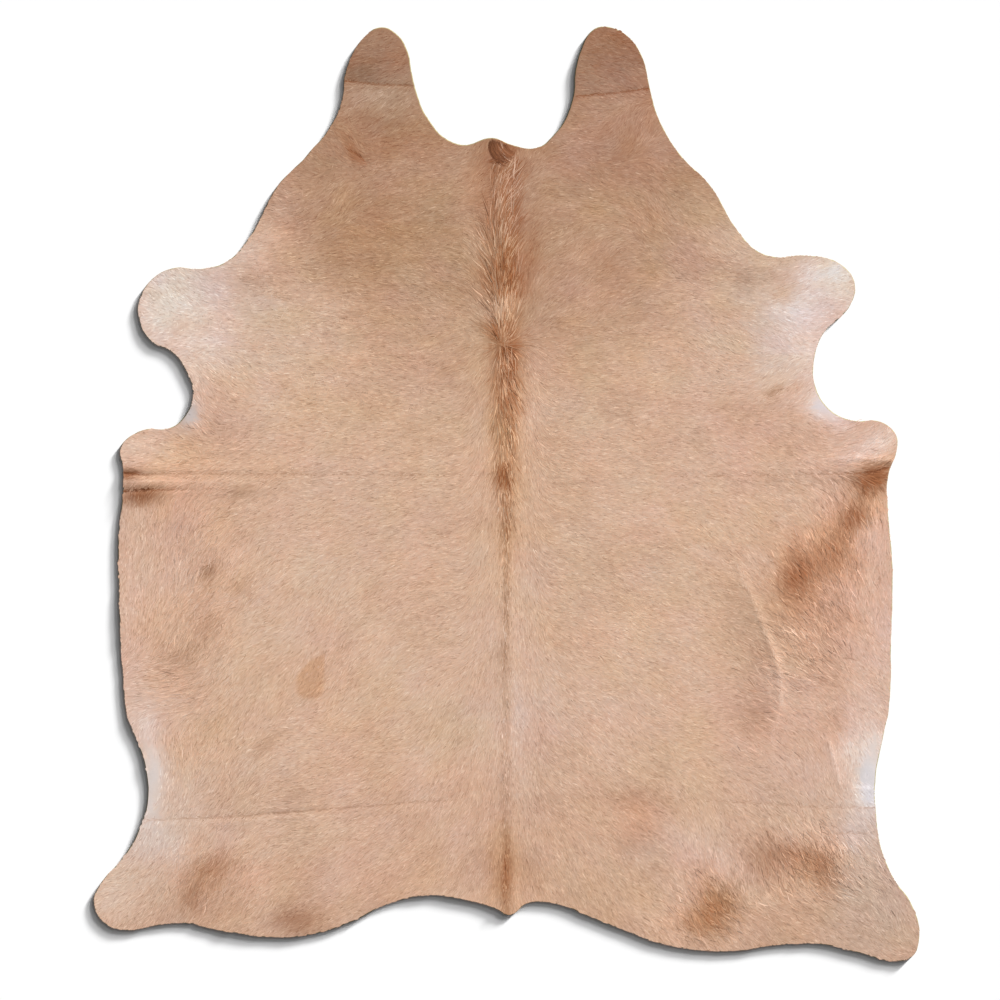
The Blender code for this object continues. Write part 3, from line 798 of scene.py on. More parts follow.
side_x, side_y = as_unit(*map_strokes())
spine_x, spine_y = as_unit(*map_spine_strokes())
on_spine = 1 - ease((np.abs(X) - SPINE_REACH[0]) / (SPINE_REACH[1] - SPINE_REACH[0]))
comb_x, comb_y = as_unit(side_x * (1 - on_spine) + spine_x * on_spine,
                         side_y * (1 - on_spine) + spine_y * on_spine)
comb = np.arctan2(comb_y, comb_x) + WANDER * mixed_blotches(WANDER_BLOTCHES)
print("strokes", sum(len(strokes) for _, strokes in STROKES))

# %% [markdown]
# The colour is combed as well. Dark and pale hairs lie side by side, so a mark ends in wisps
# that point the way the hair lies, and plain coat has a faint streak in it. Smearing the tint
# map along the combed headings, with some grain put in first, gives both at once.

# %% Comb the colour
STREAKS = 0.045
STREAK_REACH = 4


def combed(chart):
    """A map smeared along the way the hair lies, some cells back and forth."""
    total = np.zeros(X.shape)
    for k in range(-STREAK_REACH, STREAK_REACH + 1):
        total += look_up(chart, X + k * MAP_STEP * np.cos(comb), Y + k * MAP_STEP * np.sin(comb))
    return total / (2 * STREAK_REACH + 1)


grain = np.random.default_rng(33).normal(0, STREAKS, X.shape)
tint_map = combed(tint_map + grain)
rose_map, gold_map = combed(rose_map), combed(gold_map)
print("tint from", round(float(tint_map.min()), 2), "to", round(float(tint_map.max()), 2))

# %% [markdown]
# A hair's length and how flat it lies change over the hide as well. The coat is about 20 mm
# long, longer and looser on the belly and the hocks, and shorter and thinner in the pits of the
# legs, where the skin shows through. These are ovals again, with factors instead of tints.

# %% Map the length and the cover of the coat
HAIR_LENGTH = 0.020
COAT_ZONES = (
    # name, across, along, half across, half along, turned, longer by, higher by, hairs left out
    ("left belly", -0.715, -0.250, 0.080, 0.260, 0, 0.70, 0.8, 0.0),
    ("right belly", 0.740, -0.180, 0.080, 0.220, -25, 0.70, 0.8, 0.0),
    ("left belly edge", -0.895, -0.260, 0.022, 0.260, 0, -0.30, -0.4, 0.0),
    ("right belly edge", 0.895, -0.230, 0.022, 0.240, 0, -0.30, -0.4, 0.0),
    ("left hock", -0.700, -0.890, 0.090, 0.060, 0, 0.45, 0.5, 0.0),
    ("right hock", 0.720, -0.855, 0.100, 0.070, 0, 0.45, 0.5, 0.0),
    ("right buttock", 0.470, -0.960, 0.090, 0.070, 30, 0.45, 0.5, 0.0),
    ("left foreleg", -0.790, 0.420, 0.100, 0.130, 0, -0.25, -0.5, 0.0),
    ("right foreleg", 0.750, 0.420, 0.100, 0.160, 0, -0.25, -0.5, 0.0),
    ("left elbow", -0.750, 0.182, 0.030, 0.034, 20, -0.40, -0.5, 1.40),
    ("right elbow", 0.748, 0.205, 0.048, 0.030, -35, -0.40, -0.5, 1.40),
    ("left hind pit", -0.826, -0.660, 0.034, 0.120, 0, -0.35, -0.4, 1.25),
    ("right hind pit", 0.856, -0.650, 0.034, 0.080, 0, -0.35, -0.4, 1.20),
    ("neck", 0.000, 0.850, 0.400, 0.220, 0, -0.12, 0.0, 0.0),
)
LEAST_LENGTH, LEAST_LIFT = 0.4, 0.3
length_map, lift_map, gap_map = np.ones(X.shape), np.ones(X.shape), np.zeros(X.shape)
for _, *oval, longer, higher, left_out in COAT_ZONES:
    share = map_oval(*oval)
    length_map += longer * share
    lift_map += higher * share
    gap_map += left_out * share
length_map = np.clip(length_map, LEAST_LENGTH, None) * HAIR_LENGTH
lift_map = np.clip(lift_map, LEAST_LIFT, None)
print("hair from", round(length_map.min() * 1000), "to", round(length_map.max() * 1000), "mm")

# %% [markdown]
# The skin itself is leather, so it is a thin closed sheet: a hair side that follows the
# creases, a flesh side that lies on the floor but lifts a little under each ridge, and a cut
# rim between them. A grid of squares with some thickness would do, but its rim would go in
# steps. Filling the trimmed edge with even triangles keeps each nick of the knife, and the same
# triangles turned over make the flesh side.

# %% Build the skin
INSET = 0.0020
SKIN_CELL = 0.017
ROW_HEIGHT = 0.87
SKIN_THICKNESS = 0.0025
CUT_ROUNDING = 0.0004
CUT_SLANT = 0.0020
ONLY_INSIDE, SAME_POINT = 1, 1e-6


def sheet_inside(loop, cell):
    """Points and triangles that fill a loop; the loop's own points come first."""
    spread_x = np.arange(low.x, high.x, cell)
    spread_y = np.arange(low.y, high.y, cell * ROW_HEIGHT)
    px, py = np.meshgrid(spread_x, spread_y)
    px = px + (np.arange(len(spread_y)) % 2)[:, None] * cell / 2
    keep = look_up(edge_away, px, py) > INSET + cell / 2
    points = np.concatenate([loop, np.stack([px[keep], py[keep]], 1)])
    ring = list(range(len(loop)))
    found = delaunay_2d_cdt([Vector(p) for p in points], [], [ring], ONLY_INSIDE, SAME_POINT)
    places = np.array([tuple(v) for v in found[0]])
    return places, np.array(found[2])


def rim_edges(triangles):
    """The directed edges that only one triangle has, which run round the rim."""
    edges = np.concatenate([triangles[:, [0, 1]], triangles[:, [1, 2]], triangles[:, [2, 0]]])
    known = {tuple(edge) for edge in edges.tolist()}
    return np.array([(a, b) for a, b in known if (b, a) not in known])


skin_edge = trimmed - outward(trimmed) * INSET
places, triangles = sheet_inside(skin_edge, SKIN_CELL)
hair_side = look_up(skin_top, places[:, 0], places[:, 1])
rim_links = rim_edges(triangles)
hair_side[np.unique(rim_links)] -= CUT_ROUNDING
flesh_side = np.maximum(hair_side - SKIN_THICKNESS, 0)
count = len(places)
below = places.copy()
below[:len(skin_edge)] += outward(skin_edge) * CUT_SLANT
skin_points = np.concatenate([np.column_stack([places, hair_side]),
                              np.column_stack([below, flesh_side])])
a, b = rim_links[:, 0], rim_links[:, 1]
walls = np.concatenate([np.column_stack([b, a, a + count]),
                        np.column_stack([b, a + count, b + count])])
skin_faces = np.concatenate([triangles, triangles[:, ::-1] + count, walls])


def mesh_from(name, points, faces):
    """A mesh from an array of points and an array of triangles, without a slow loop."""
    mesh = bpy.data.meshes.new(name)
    mesh.vertices.add(len(points))
    mesh.vertices.foreach_set("co", points.astype(np.float32).ravel())
    mesh.loops.add(faces.size)
    mesh.loops.foreach_set("vertex_index", faces.astype(np.int32).ravel())
    mesh.polygons.add(len(faces))
    mesh.polygons.foreach_set("loop_start", np.arange(0, faces.size, 3, dtype=np.int32))
    mesh.update(calc_edges=True)
    piece = bpy.data.objects.new(name, mesh)
    bpy.context.scene.collection.objects.link(piece)
    return piece


skin = mesh_from("skin", skin_points, skin_faces)
skin.data.shade_smooth()
on_rim = np.zeros(len(skin_points), bool)
on_rim[np.concatenate([rim_links.ravel(), rim_links.ravel() + count])] = True
ends = np.empty(2 * len(skin.data.edges), np.int32)
skin.data.edges.foreach_get("vertices", ends)
ends = ends.reshape(-1, 2)
same_side = (ends[:, 0] < count) == (ends[:, 1] < count)
sharp = skin.data.attributes.new("sharp_edge", "BOOLEAN", "EDGE")
sharp.data.foreach_set("value", on_rim[ends].all(1) & same_side)
wears = np.repeat([0, 1, 2], [len(triangles), len(triangles), len(walls)]).astype(np.int32)
print("skin triangles", len(skin_faces))

# %% [markdown]
# Leather and hair are both dull and a little uneven. In Blender a finish is a small tree of
# nodes, and the same few nodes come up in each: a noise in the hide's own metres, a ramp that
# turns it into colours, and a bump that turns it into relief. One short function for each keeps
# the finishes themselves readable.

# %% Write a helper for each node of a finish
LEATHER_GLOSS = 0.25
NOISE_LOW, NOISE_HIGH = 0.3, 0.7


def new_material(name, roughness):
    """A material with a plain shader, its node tree, and the shader."""
    material = bpy.data.materials.new(name)
    material.use_nodes = True
    shader = material.node_tree.nodes["Principled BSDF"]
    shader.inputs["Roughness"].default_value = roughness
    shader.inputs["Specular IOR Level"].default_value = LEATHER_GLOSS
    return material, material.node_tree, shader


def add_noise(tree, place, scale, detail, stretch=(1, 1, 1)):
    """A noise texture in the hide's own metres, squeezed along some axes if asked."""
    mapping = tree.nodes.new("ShaderNodeMapping")
    mapping.inputs["Scale"].default_value = stretch
    tree.links.new(place, mapping.inputs["Vector"])
    texture = tree.nodes.new("ShaderNodeTexNoise")
    texture.inputs["Scale"].default_value = scale
    texture.inputs["Detail"].default_value = detail
    tree.links.new(mapping.outputs["Vector"], texture.inputs["Vector"])
    return texture.outputs["Fac"]


def add_ramp(tree, factor, stops):
    """A colour ramp over rows of place, colour."""
    ramp = tree.nodes.new("ShaderNodeValToRGB")
    elements = ramp.color_ramp.elements
    elements[0].position, elements[0].color = stops[0]
    elements[1].position, elements[1].color = stops[-1]
    for place, colour in stops[1:-1]:
        elements.new(place).color = colour
    tree.links.new(factor, ramp.inputs["Fac"])
    return ramp.outputs["Color"]


def add_bump(tree, shader, height, distance, strength):
    """Small relief under a finish, this many metres high."""
    bump = tree.nodes.new("ShaderNodeBump")
    bump.inputs["Distance"].default_value = distance
    bump.inputs["Strength"].default_value = strength
    tree.links.new(height, bump.inputs["Height"])
    tree.links.new(bump.outputs["Normal"], shader.inputs["Normal"])


def multiplied(tree, a, b):
    """Two numbers in a node tree, multiplied."""
    node = tree.nodes.new("ShaderNodeMath")
    node.operation = "MULTIPLY"
    tree.links.new(a, node.inputs[0])
    tree.links.new(b, node.inputs[1])
    return node.outputs["Value"]


def brightened(tree, colour, factor):
    """A colour in a node tree, made brighter or darker by a number."""
    node = tree.nodes.new("ShaderNodeVectorMath")
    node.operation = "SCALE"
    tree.links.new(colour, node.inputs[0])
    tree.links.new(factor, node.inputs["Scale"])
    return node.outputs["Vector"]


def between(tree, value, least, most):
    """A noise value, mostly in the middle of 0 to 1, spread between two others."""
    node = tree.nodes.new("ShaderNodeMapRange")
    node.inputs["From Min"].default_value = NOISE_LOW
    node.inputs["From Max"].default_value = NOISE_HIGH
    node.inputs["To Min"].default_value = least
    node.inputs["To Max"].default_value = most
    tree.links.new(value, node.inputs["Value"])
    return node.outputs["Result"]


print("noise is spread from", NOISE_LOW, "to", NOISE_HIGH)

# %% [markdown]
# The coat's colour is the same on the hair and on the skin between its roots, so both read it
# in one way. Each point of a mesh keeps four numbers: the tint, which picks a colour from the
# ramp, the brightness, and how rosy and how golden it is. The last two lead from an olive cast to
# a rosy one and from a grey cast to a golden one. An image could hold all this, but it would have
# to be very large before single hairs showed in it.

# %% Mix the colours of the coat
OLIVE_CAST = (0.880, 0.910, 0.840, 1.0)
ROSE_CAST = (0.910, 0.858, 0.872, 1.0)
GREY_CAST = (0.945, 1.010, 1.140, 1.0)
GOLD_CAST = (1.060, 0.980, 0.850, 1.0)
GRAIN_DETAIL = 3


def coat_colour(tree):
    """The coat's colour and its brightness, from the tint and shade kept on each point."""
    strand = tree.nodes.new("ShaderNodeAttribute")
    strand.attribute_name = "strand"
    parts = tree.nodes.new("ShaderNodeSeparateColor")
    tree.links.new(strand.outputs["Color"], parts.inputs["Color"])
    stops = [(row[0], screen(*row[2:])) for row in COAT_RAMP]
    colour = add_ramp(tree, parts.outputs["Red"], stops)
    for amount, ends in ((parts.outputs["Blue"], (OLIVE_CAST, ROSE_CAST)),
                         (strand.outputs["Alpha"], (GREY_CAST, GOLD_CAST))):
        cast = tree.nodes.new("ShaderNodeMix")
        cast.data_type = "RGBA"
        cast.inputs["A"].default_value, cast.inputs["B"].default_value = ends
        product = tree.nodes.new("ShaderNodeVectorMath")
        product.operation = "MULTIPLY"
        tree.links.new(amount, cast.inputs["Factor"])
        tree.links.new(colour, product.inputs[0])
        tree.links.new(cast.outputs["Result"], product.inputs[1])
        colour = product.outputs["Vector"]
    return colour, parts.outputs["Green"]


def hairy_finish(name, roughness, gloss, grain, least, most):
    """A finish in the coat's colours, with a fine grain that runs between two brightnesses."""
    material, tree, shader = new_material(name, roughness)
    shader.inputs["Specular IOR Level"].default_value = gloss
    colour, shade = coat_colour(tree)
    place = tree.nodes.new("ShaderNodeNewGeometry").outputs["Position"]
    fine = between(tree, add_noise(tree, place, grain, GRAIN_DETAIL), least, most)
    tree.links.new(brightened(tree, colour, multiplied(tree, shade, fine)),
                   shader.inputs["Base Color"])
    return material


root_skin = hairy_finish("root_skin", roughness=0.8, gloss=0.1, grain=260, least=0.94, most=1.0)
print("coat finish", root_skin.name)

# %% [markdown]
# The leather wears three finishes. The hair side has the coat's own colours, a touch darker as
# painted shade among the hair roots. The flesh side is a pale suede, mottled and with a short nap.
# The cut rim shows the raw middle of the leather, an olive cream, with a grain that runs up and down.

# %% Finish the leather
# a touch darker than the hair: painted shade among the hair roots
ROOT_SHADE = 0.97
SUEDE_PALE = screen(214, 196, 170)
SUEDE_DARK = screen(188, 164, 134)
CUT_CREAM = screen(150, 140, 102)
CUT_SHADE = screen(112, 100, 68)
LEATHER_ROUGHNESS = 0.85
MOTTLE_DETAIL = 6
NAP_FINER, NAP_STRENGTH = 8, 0.6


def leather(name, dark, pale, scale, stretch, relief):
    """A leather finish: two tones mottled together, with its grain as relief."""
    material, tree, shader = new_material(name, LEATHER_ROUGHNESS)
    place = tree.nodes.new("ShaderNodeNewGeometry").outputs["Position"]
    tone = add_noise(tree, place, scale, MOTTLE_DETAIL, stretch)
    stops = ((NOISE_LOW, dark), (NOISE_HIGH, pale))
    tree.links.new(add_ramp(tree, tone, stops), shader.inputs["Base Color"])
    nap = add_noise(tree, place, scale * NAP_FINER, GRAIN_DETAIL, stretch)
    add_bump(tree, shader, nap, relief, NAP_STRENGTH)
    return material


suede = leather("flesh_suede", SUEDE_DARK, SUEDE_PALE, scale=22, stretch=(1, 1, 1), relief=0.0006)
cut_rim = leather("cut_rim", CUT_SHADE, CUT_CREAM, scale=120, stretch=(1, 1, 0.2), relief=0.0003)
for material in (root_skin, suede, cut_rim):
    skin.data.materials.append(material)
skin.data.polygons.foreach_set("material_index", wears)
under = np.ones((len(skin_points), 4), np.float32)
skin_x, skin_y = skin_points[:, 0], skin_points[:, 1]
under[:, 0] = look_up(tint_map, skin_x, skin_y)
# painted shade among the roots, and darker again in the dull and shaded places
under[:, 1] = ROOT_SHADE * look_up(dull_and_shade_map, skin_x, skin_y)
under[:, 2] = np.clip(look_up(rose_map, skin_x, skin_y), 0, 1)
under[:, 3] = np.clip(look_up(gold_map, skin_x, skin_y), 0, 1)
under_layer = skin.data.color_attributes.new("strand", "FLOAT_COLOR", "POINT")
under_layer.data.foreach_set("color", under.ravel())
print("leather finishes", ", ".join(material.name for material in skin.data.materials))

# %% [markdown]
# A real coat has many millions of hairs, far too many and too fine to build one by one. Each
# blade here stands for a small tuft of hairs that cling together. It is a narrow pointed leaf: a
# root, a widest place and a tip. Particle hair could do this, but it would not export as a
# mesh, so the blades are worked out as arrays and joined into one mesh for each part of the
# coat. A longer lock is the same leaf with more places along it.

# %% Join many ribbons into one array
LEAST_HEIGHT = 0.0006
TIP_INSIDE = 0.0008
SHORTEST_STUB = 0.15
NO_CHANGE = 1e-6


def ribbon(rings):
    """Points and triangles of many ribbons at once, from rings of shape (hairs, points, 3)."""
    wide = [ring.shape[1] for ring in rings]
    starts = np.concatenate([[0], np.cumsum(wide)])
    links = []
    for a, b, wa, wb in zip(starts, starts[1:], wide, wide[1:]):
        if wa == wb:
            for k in range(wa - 1):
                links += [(a + k, b + k, b + k + 1), (a + k, b + k + 1, a + k + 1)]
        elif wb == 1:
            links += [(a + k, b, a + k + 1) for k in range(wa - 1)]
        else:
            links += [(a, b + k, b + k + 1) for k in range(wb - 1)]
    points = np.concatenate(rings, axis=1)
    each = np.array(links)
    hops = np.arange(len(points))[:, None, None] * starts[-1]
    return points.reshape(-1, 3), (each[None] + hops).reshape(-1, 3), int(starts[-1])


def within_hide(x, y, heading, length):
    """Hair lengths cut back so that a tip stops just inside the trimmed edge."""
    root = look_up(edge_away, x, y)
    tip = look_up(edge_away, x + np.cos(heading) * length, y + np.sin(heading) * length)
    fits = (root - TIP_INSIDE) / np.maximum(root - tip, NO_CHANGE)
    return length * np.where(tip < TIP_INSIDE, np.clip(fits, SHORTEST_STUB, 1), 1)


print("no hair lower than", LEAST_HEIGHT * 1000, "mm")

# %% [markdown]
# One function grows every kind of hair, from the short coat to the longest lock. It walks from
# root to tip, lays each place on the skin's own height, and bends a little at every step. Three
# things make the blades look like hair and not like paper. A hair's root is dull, because it lies
# in the shade of its neighbours. A darker hair is also a little rosier and more golden, or it
# would look green beside a pale one. And the light is told the slope of the coat at that place
# and not the flat face of the blade.

# %% Grow hair as a mesh
ROLL_SEEN = 0.6
DARKER_ROSE, DARKER_GOLD = 1.6, 0.7
HUE_NOISE = 0.04


def grow(name, x, y, heading, length, width, lift, tint, shade, bend, roll, places, draw):
    """Hair as one mesh. The arguments from x to roll are arrays, with one value a hair.

    places has a row for each ring: how far along the hair, how wide, how high, how bright.
    """
    length = within_hide(x, y, heading, length)
    rose = look_up(rose_map, x, y) + DARKER_ROSE * (1 - shade) + draw.normal(0, HUE_NOISE, len(x))
    gold = look_up(gold_map, x, y) + DARKER_GOLD * (1 - shade) + draw.normal(0, HUE_NOISE, len(x))
    # darker in the dull places and where shade is painted
    shade = shade * look_up(dull_and_shade_map, x, y)
    px, py, way = x.copy(), y.copy(), heading - bend / 2
    rings, bright, stain, facing, last = [], [], [], [], 0.0
    for at, share, high_share, light in places:
        px = px + np.cos(way) * length * (at - last)
        py = py + np.sin(way) * length * (at - last)
        way, last = way + bend * (at - last), at
        ground = np.maximum(look_up(skin_top, px, py), LEAST_HEIGHT)
        pz = ground + lift * high_share
        side_x, side_y = -np.sin(way) * width * share / 2, np.cos(way) * width * share / 2
        tilt = np.tan(roll) * width * share / 2
        centre = np.stack([px, py, pz], 1)
        offset = np.stack([side_x, side_y, tilt], 1)
        ring = [centre - offset, centre + offset] if share > 0 else [centre]
        rings.append(np.stack(ring, 1))
        bright.append(np.repeat((shade * light)[:, None], len(ring), 1))
        stain.append(np.repeat(look_up(drip, px, py)[:, None], len(ring), 1))
        face = np.stack([ROLL_SEEN * np.sin(way) * roll - look_up(slope_across, px, py),
                         -ROLL_SEEN * np.cos(way) * roll - look_up(slope_along, px, py),
                         np.ones(len(x))], 1)
        facing.append(np.repeat(face[:, None], len(ring), 1))
    points, faces, each = ribbon(rings)
    points[:, 2] = np.maximum(points[:, 2], LEAST_HEIGHT)
    piece = mesh_from(name, points, faces)
    stain = np.concatenate(stain, 1).ravel()
    strand = np.ones((len(points), 4), np.float32)
    strand[:, 0] = np.clip(np.repeat(tint, each) + DRIP_TINT * stain, 0, 1)
    strand[:, 1] = np.concatenate(bright, 1).ravel()
    strand[:, 2] = np.clip(np.repeat(rose, each) + DRIP_ROSE * stain, 0, 1)
    strand[:, 3] = np.clip(np.repeat(gold, each) + DRIP_GOLD * stain, 0, 1)
    layer = piece.data.color_attributes.new("strand", "FLOAT_COLOR", "POINT")
    layer.data.foreach_set("color", strand.ravel())
    normals = np.concatenate(facing, 1).reshape(-1, 3)
    normals /= np.linalg.norm(normals, axis=1)[:, None]
    turned = piece.data.attributes.new("custom_normal", "FLOAT_VECTOR", "POINT")
    turned.data.foreach_set("vector", normals.astype(np.float32).ravel())
    first, last_corner = points[:, :2].min(0), points[:, :2].max(0)
    flat = (points[:, :2] - first) / (last_corner - first)
    chart = piece.data.uv_layers.new(name="OFBake")
    chart.uv.foreach_set("vector", flat[faces.ravel()].astype(np.float32).ravel())
    return piece


BLADE = (
    # along the hair, width, height, brightness
    (0.00, 0.0, 0.15, 0.93), (0.45, 1.0, 0.80, 0.99), (1.00, 0.0, 0.85, 1.03),
)
LOCK = (
    # the same, with one place more
    (0.00, 0.6, 0.15, 0.74), (0.30, 1.0, 0.85, 0.93), (0.65, 0.8, 1.00, 1.02),
    (1.00, 0.0, 0.70, 1.06),
)
LONG_LOCK = (
    # the same, for the longest hair
    (0.00, 0.5, 0.20, 0.70), (0.18, 0.9, 0.80, 0.92), (0.40, 1.0, 1.00, 0.98),
    (0.62, 0.9, 1.00, 1.02), (0.82, 0.6, 0.90, 1.04), (1.00, 0.0, 0.75, 1.06),
)
print("a blade has 2 triangles, a lock", 2 * (len(LOCK) - 2) + 1)

# %% [markdown]
# The short coat covers the whole hide, so it has most of the hair. Roots go on a jittered grid
# of tufts. The blades of one tuft share a heading, a tint and a height and lean together at
# their tips, which gives the soft grain that shows from across a room. Wide blades make an under
# coat that covers the skin, and fine ones over it make the strokes that the eye sees. Some of
# those are dark, browner hair with painted shade between the tufts, and on the left side they
# differ more, as painted shade for the way the light falls across the hair there. The coat is
# cut into five bands along the hide, one mesh each, so that none grows too big to handle.

# %% Set the sizes of the short coat
# how far apart the tufts are, how far off their grid, and how much the tufts differ
TUFT_SPACING, JITTER = 0.0086, 0.6
TUFT_SPREAD = TUFT_SPACING * 0.75
TUFT_TURN, TUFT_TINT, TUFT_SHADE, TUFT_LIFT = math.radians(7), 0.014, 0.008, (0.92, 1.06)
# how near the edge a root may be, and how short and low the coat gets towards it
EDGE_KEPT, LOW_EDGE = 0.0025, 0.02
EDGE_LENGTH, EDGE_LIFT = 0.6, 0.5
EDGE_BLUR = 2
away_along, away_across = (-part for part in np.gradient(blur(edge_away, EDGE_BLUR), MAP_STEP))
# the wide blades of the under coat and the fine blades on top
UNDER_BLADES, FINE_BLADES = 4, 5
UNDER_WIDTH, FINE_WIDTH = 0.0048, 0.0015
UNDER_HEIGHT, FINE_HEIGHT = 0.0009, 0.0013
UNDER_SHADE, FINE_SHADE = 0.99, 1.03
UNDER_TINT, FINE_TINT = 0.010, 0.026
UNDER_ROLL, FINE_ROLL = math.radians(1.5), math.radians(4)
BLADE_LEAN, BLADE_TURN, BLADE_BEND = math.radians(9), 0.10, math.radians(14)
BLADE_SIZES, BLADE_LIFTS = (0.75, 1.25), (0.9, 1.1)
# how much the fine blades differ in brightness, with their tint and by chance, and the dark ones,
# which are partly painted shade, and how much more on the left, as painted shade
TINTED_ROUGH, PLAIN_ROUGH = 0.074, 0.018
DARK_SHARE, DARK_STROKE, DARK_TINT = 0.30, 0.120, 0.030
SHADE_GAIN_ACROSS, SHADE_GAIN = (-0.90, -0.25, 0.10), (1.45, 1.18, 1.0)
BANDS = (
    # name, from, to along the hide
    ("coat_rump", -1.15, -0.66),
    ("coat_loin", -0.66, -0.30),
    ("coat_barrel", -0.30, 0.06),
    ("coat_shoulders", 0.06, 0.46),
    ("coat_neck", 0.46, 1.15),
)
print("blades a square centimetre", round((UNDER_BLADES + FINE_BLADES) / (TUFT_SPACING * 100)**2))

# %% [markdown]
# Growing one band takes three moves: scatter the tufts, scatter the blades within each tuft, and
# ask the maps what the coat is like at the root of every blade. All chance comes from one seeded
# draw for each band, so the coat comes out the same every time.

# %% Grow the short coat in bands
def tuft_roots(start, stop, spacing, draw):
    """Places of tufts on a jittered grid between two lines across the hide."""
    px, py = np.meshgrid(np.arange(low.x, high.x, spacing), np.arange(start, stop, spacing))
    px = px.ravel() + draw.uniform(-JITTER, JITTER, px.size) * spacing
    py = py.ravel() + draw.uniform(-JITTER, JITTER, py.size) * spacing
    inside = look_up(edge_away, px, py) > INSET
    sparse = draw.uniform(0, 1, px.size) < look_up(gap_map, px, py)
    keep = inside & ~sparse
    return px[keep], py[keep]


def grow_band(name, start, stop, seed):
    """One band of the short coat."""
    draw = np.random.default_rng(seed)
    tuft_x, tuft_y = tuft_roots(start, stop, TUFT_SPACING, draw)
    tufts, blades = len(tuft_x), UNDER_BLADES + FINE_BLADES
    fine = np.tile(np.arange(blades) >= UNDER_BLADES, tufts)
    tuft_heading = draw.normal(0, TUFT_TURN, tufts)
    tuft_tint = draw.normal(0, TUFT_TINT, tufts)
    tuft_shade = draw.normal(0, TUFT_SHADE, tufts)
    tuft_lift = draw.uniform(*TUFT_LIFT, tufts)
    dx = draw.uniform(-TUFT_SPREAD, TUFT_SPREAD, (tufts, blades))
    dy = draw.uniform(-TUFT_SPREAD, TUFT_SPREAD, (tufts, blades))
    x, y = (tuft_x[:, None] + dx).ravel(), (tuft_y[:, None] + dy).ravel()
    beyond = np.maximum(EDGE_KEPT - look_up(edge_away, x, y), 0)
    x -= beyond * look_up(away_across, x, y)
    y -= beyond * look_up(away_along, x, y)
    flow = look_up(comb, x, y)
    aside = (-dx.ravel() * np.sin(flow) + dy.ravel() * np.cos(flow)) / TUFT_SPREAD
    lean = -aside * BLADE_LEAN
    heading = flow + np.repeat(tuft_heading, blades) + lean + draw.normal(0, BLADE_TURN, x.size)
    edge = np.clip(look_up(edge_away, x, y) / LOW_EDGE, 0, 1)
    length = look_up(length_map, x, y) * draw.uniform(*BLADE_SIZES, x.size)
    length *= EDGE_LENGTH + (1 - EDGE_LENGTH) * edge
    lift = np.where(fine, FINE_HEIGHT, UNDER_HEIGHT) * look_up(lift_map, x, y)
    lift *= np.repeat(tuft_lift, blades)
    lift *= draw.uniform(*BLADE_LIFTS, x.size)
    lift *= EDGE_LIFT + (1 - EDGE_LIFT) * edge
    tint = look_up(tint_map, x, y) + np.repeat(tuft_tint, blades)
    tone = draw.normal(0, 1, x.size)
    dark = fine * (draw.uniform(0, 1, x.size) < DARK_SHARE)
    tint += tone * np.where(fine, FINE_TINT, UNDER_TINT) + DARK_TINT * dark
    shade = np.where(fine, FINE_SHADE, UNDER_SHADE) + np.repeat(tuft_shade, blades)
    rough = (TINTED_ROUGH * tone + PLAIN_ROUGH * draw.normal(0, 1, x.size)) * fine
    # darker strokes, more so on the left: painted shade for how the light falls across the hair
    shade -= (rough + DARK_STROKE * dark) * np.interp(x, SHADE_GAIN_ACROSS, SHADE_GAIN)
    width = np.where(fine, FINE_WIDTH, UNDER_WIDTH) * draw.uniform(*BLADE_SIZES, x.size)
    bend = draw.normal(0, BLADE_BEND, x.size)
    roll = draw.normal(0, 1, x.size) * np.where(fine, FINE_ROLL, UNDER_ROLL)
    return grow(name, x, y, heading, length, width, lift, tint, shade, bend, roll, BLADE, draw)


coat = [grow_band(name, start, stop, 100 + k) for k, (name, start, stop) in enumerate(BANDS)]
for band in coat:
    print(band.name, len(band.data.polygons), "triangles")

# %% [markdown]
# Down the backbone the hair is longer and stands in a mane: from the withers to the nape it
# runs up to the neck and splays over the coat beside it, and below the whorl it runs down to
# the tail and soon grows short. Real strands there are mixed, dark ones beside bleached ones,
# so each lock gets its own tint, and there are more bleached ones on the right. A lock is a
# ribbon with four rings instead of three. The strip could have a mesh for each strand, but a
# table of how wide, how long and how thick the mane is at each place gives the same in one.

# %% Grow the mane
MANE = (
    # along, half width of the strip, length of the hair, locks a metre
    (-0.96, 0.009, 0.020, 500), (-0.82, 0.008, 0.018, 300), (-0.44, 0.008, 0.018, 240),
    (-0.34, 0.006, 0.020, 600), (-0.16, 0.010, 0.026, 900),
    (0.02, 0.018, 0.034, 2700), (0.16, 0.024, 0.040, 3800), (0.30, 0.026, 0.042, 4200),
    (0.352, 0.020, 0.032, 4000), (0.365, 0.022, 0.032, 4200), (0.46, 0.034, 0.048, 5200),
    (0.56, 0.034, 0.048, 6200), (0.64, 0.028, 0.050, 6200), (0.74, 0.026, 0.048, 6200),
    (0.78, 0.020, 0.034, 4600),
)
LOCK_WIDTH = 0.0019
MANE_HEIGHT, FULL_HALF, LEAST_SHARE = 0.0030, 0.03, 0.45
MANE_LENGTHS, MANE_WIDTHS, MANE_LIFTS = (0.6, 1.25), (0.6, 1.2), (0.6, 1.1)
MANE_ASIDE, MANE_REACH = 0.5, 1.1
SHIFT_ALONG, SHIFT_LEFT = (0.40, 0.60), (0.004, 0.010)
PINCH_ALONG, PINCH = (0.55, 0.63), (1.0, 0.4)
LOCK_TURN, LOCK_ROLL = math.radians(9), math.radians(9)
LOCK_TINT, LOCK_SHADE = 0.06, 0.06
MANE_BEND, MANE_BEND_SPREAD = math.radians(-8), math.radians(14)
PALE_TINT, BROWN_TINT = -0.15, 0.05
PALE_BRIGHT, BROWN_BRIGHT = 1.06, 0.98
PALE_ASIDE, PALE_SHARE = (-0.9, -0.2, 0.2, 1.0), (0.08, 0.30, 0.36, 0.24)
FINE_ROWS = 2000
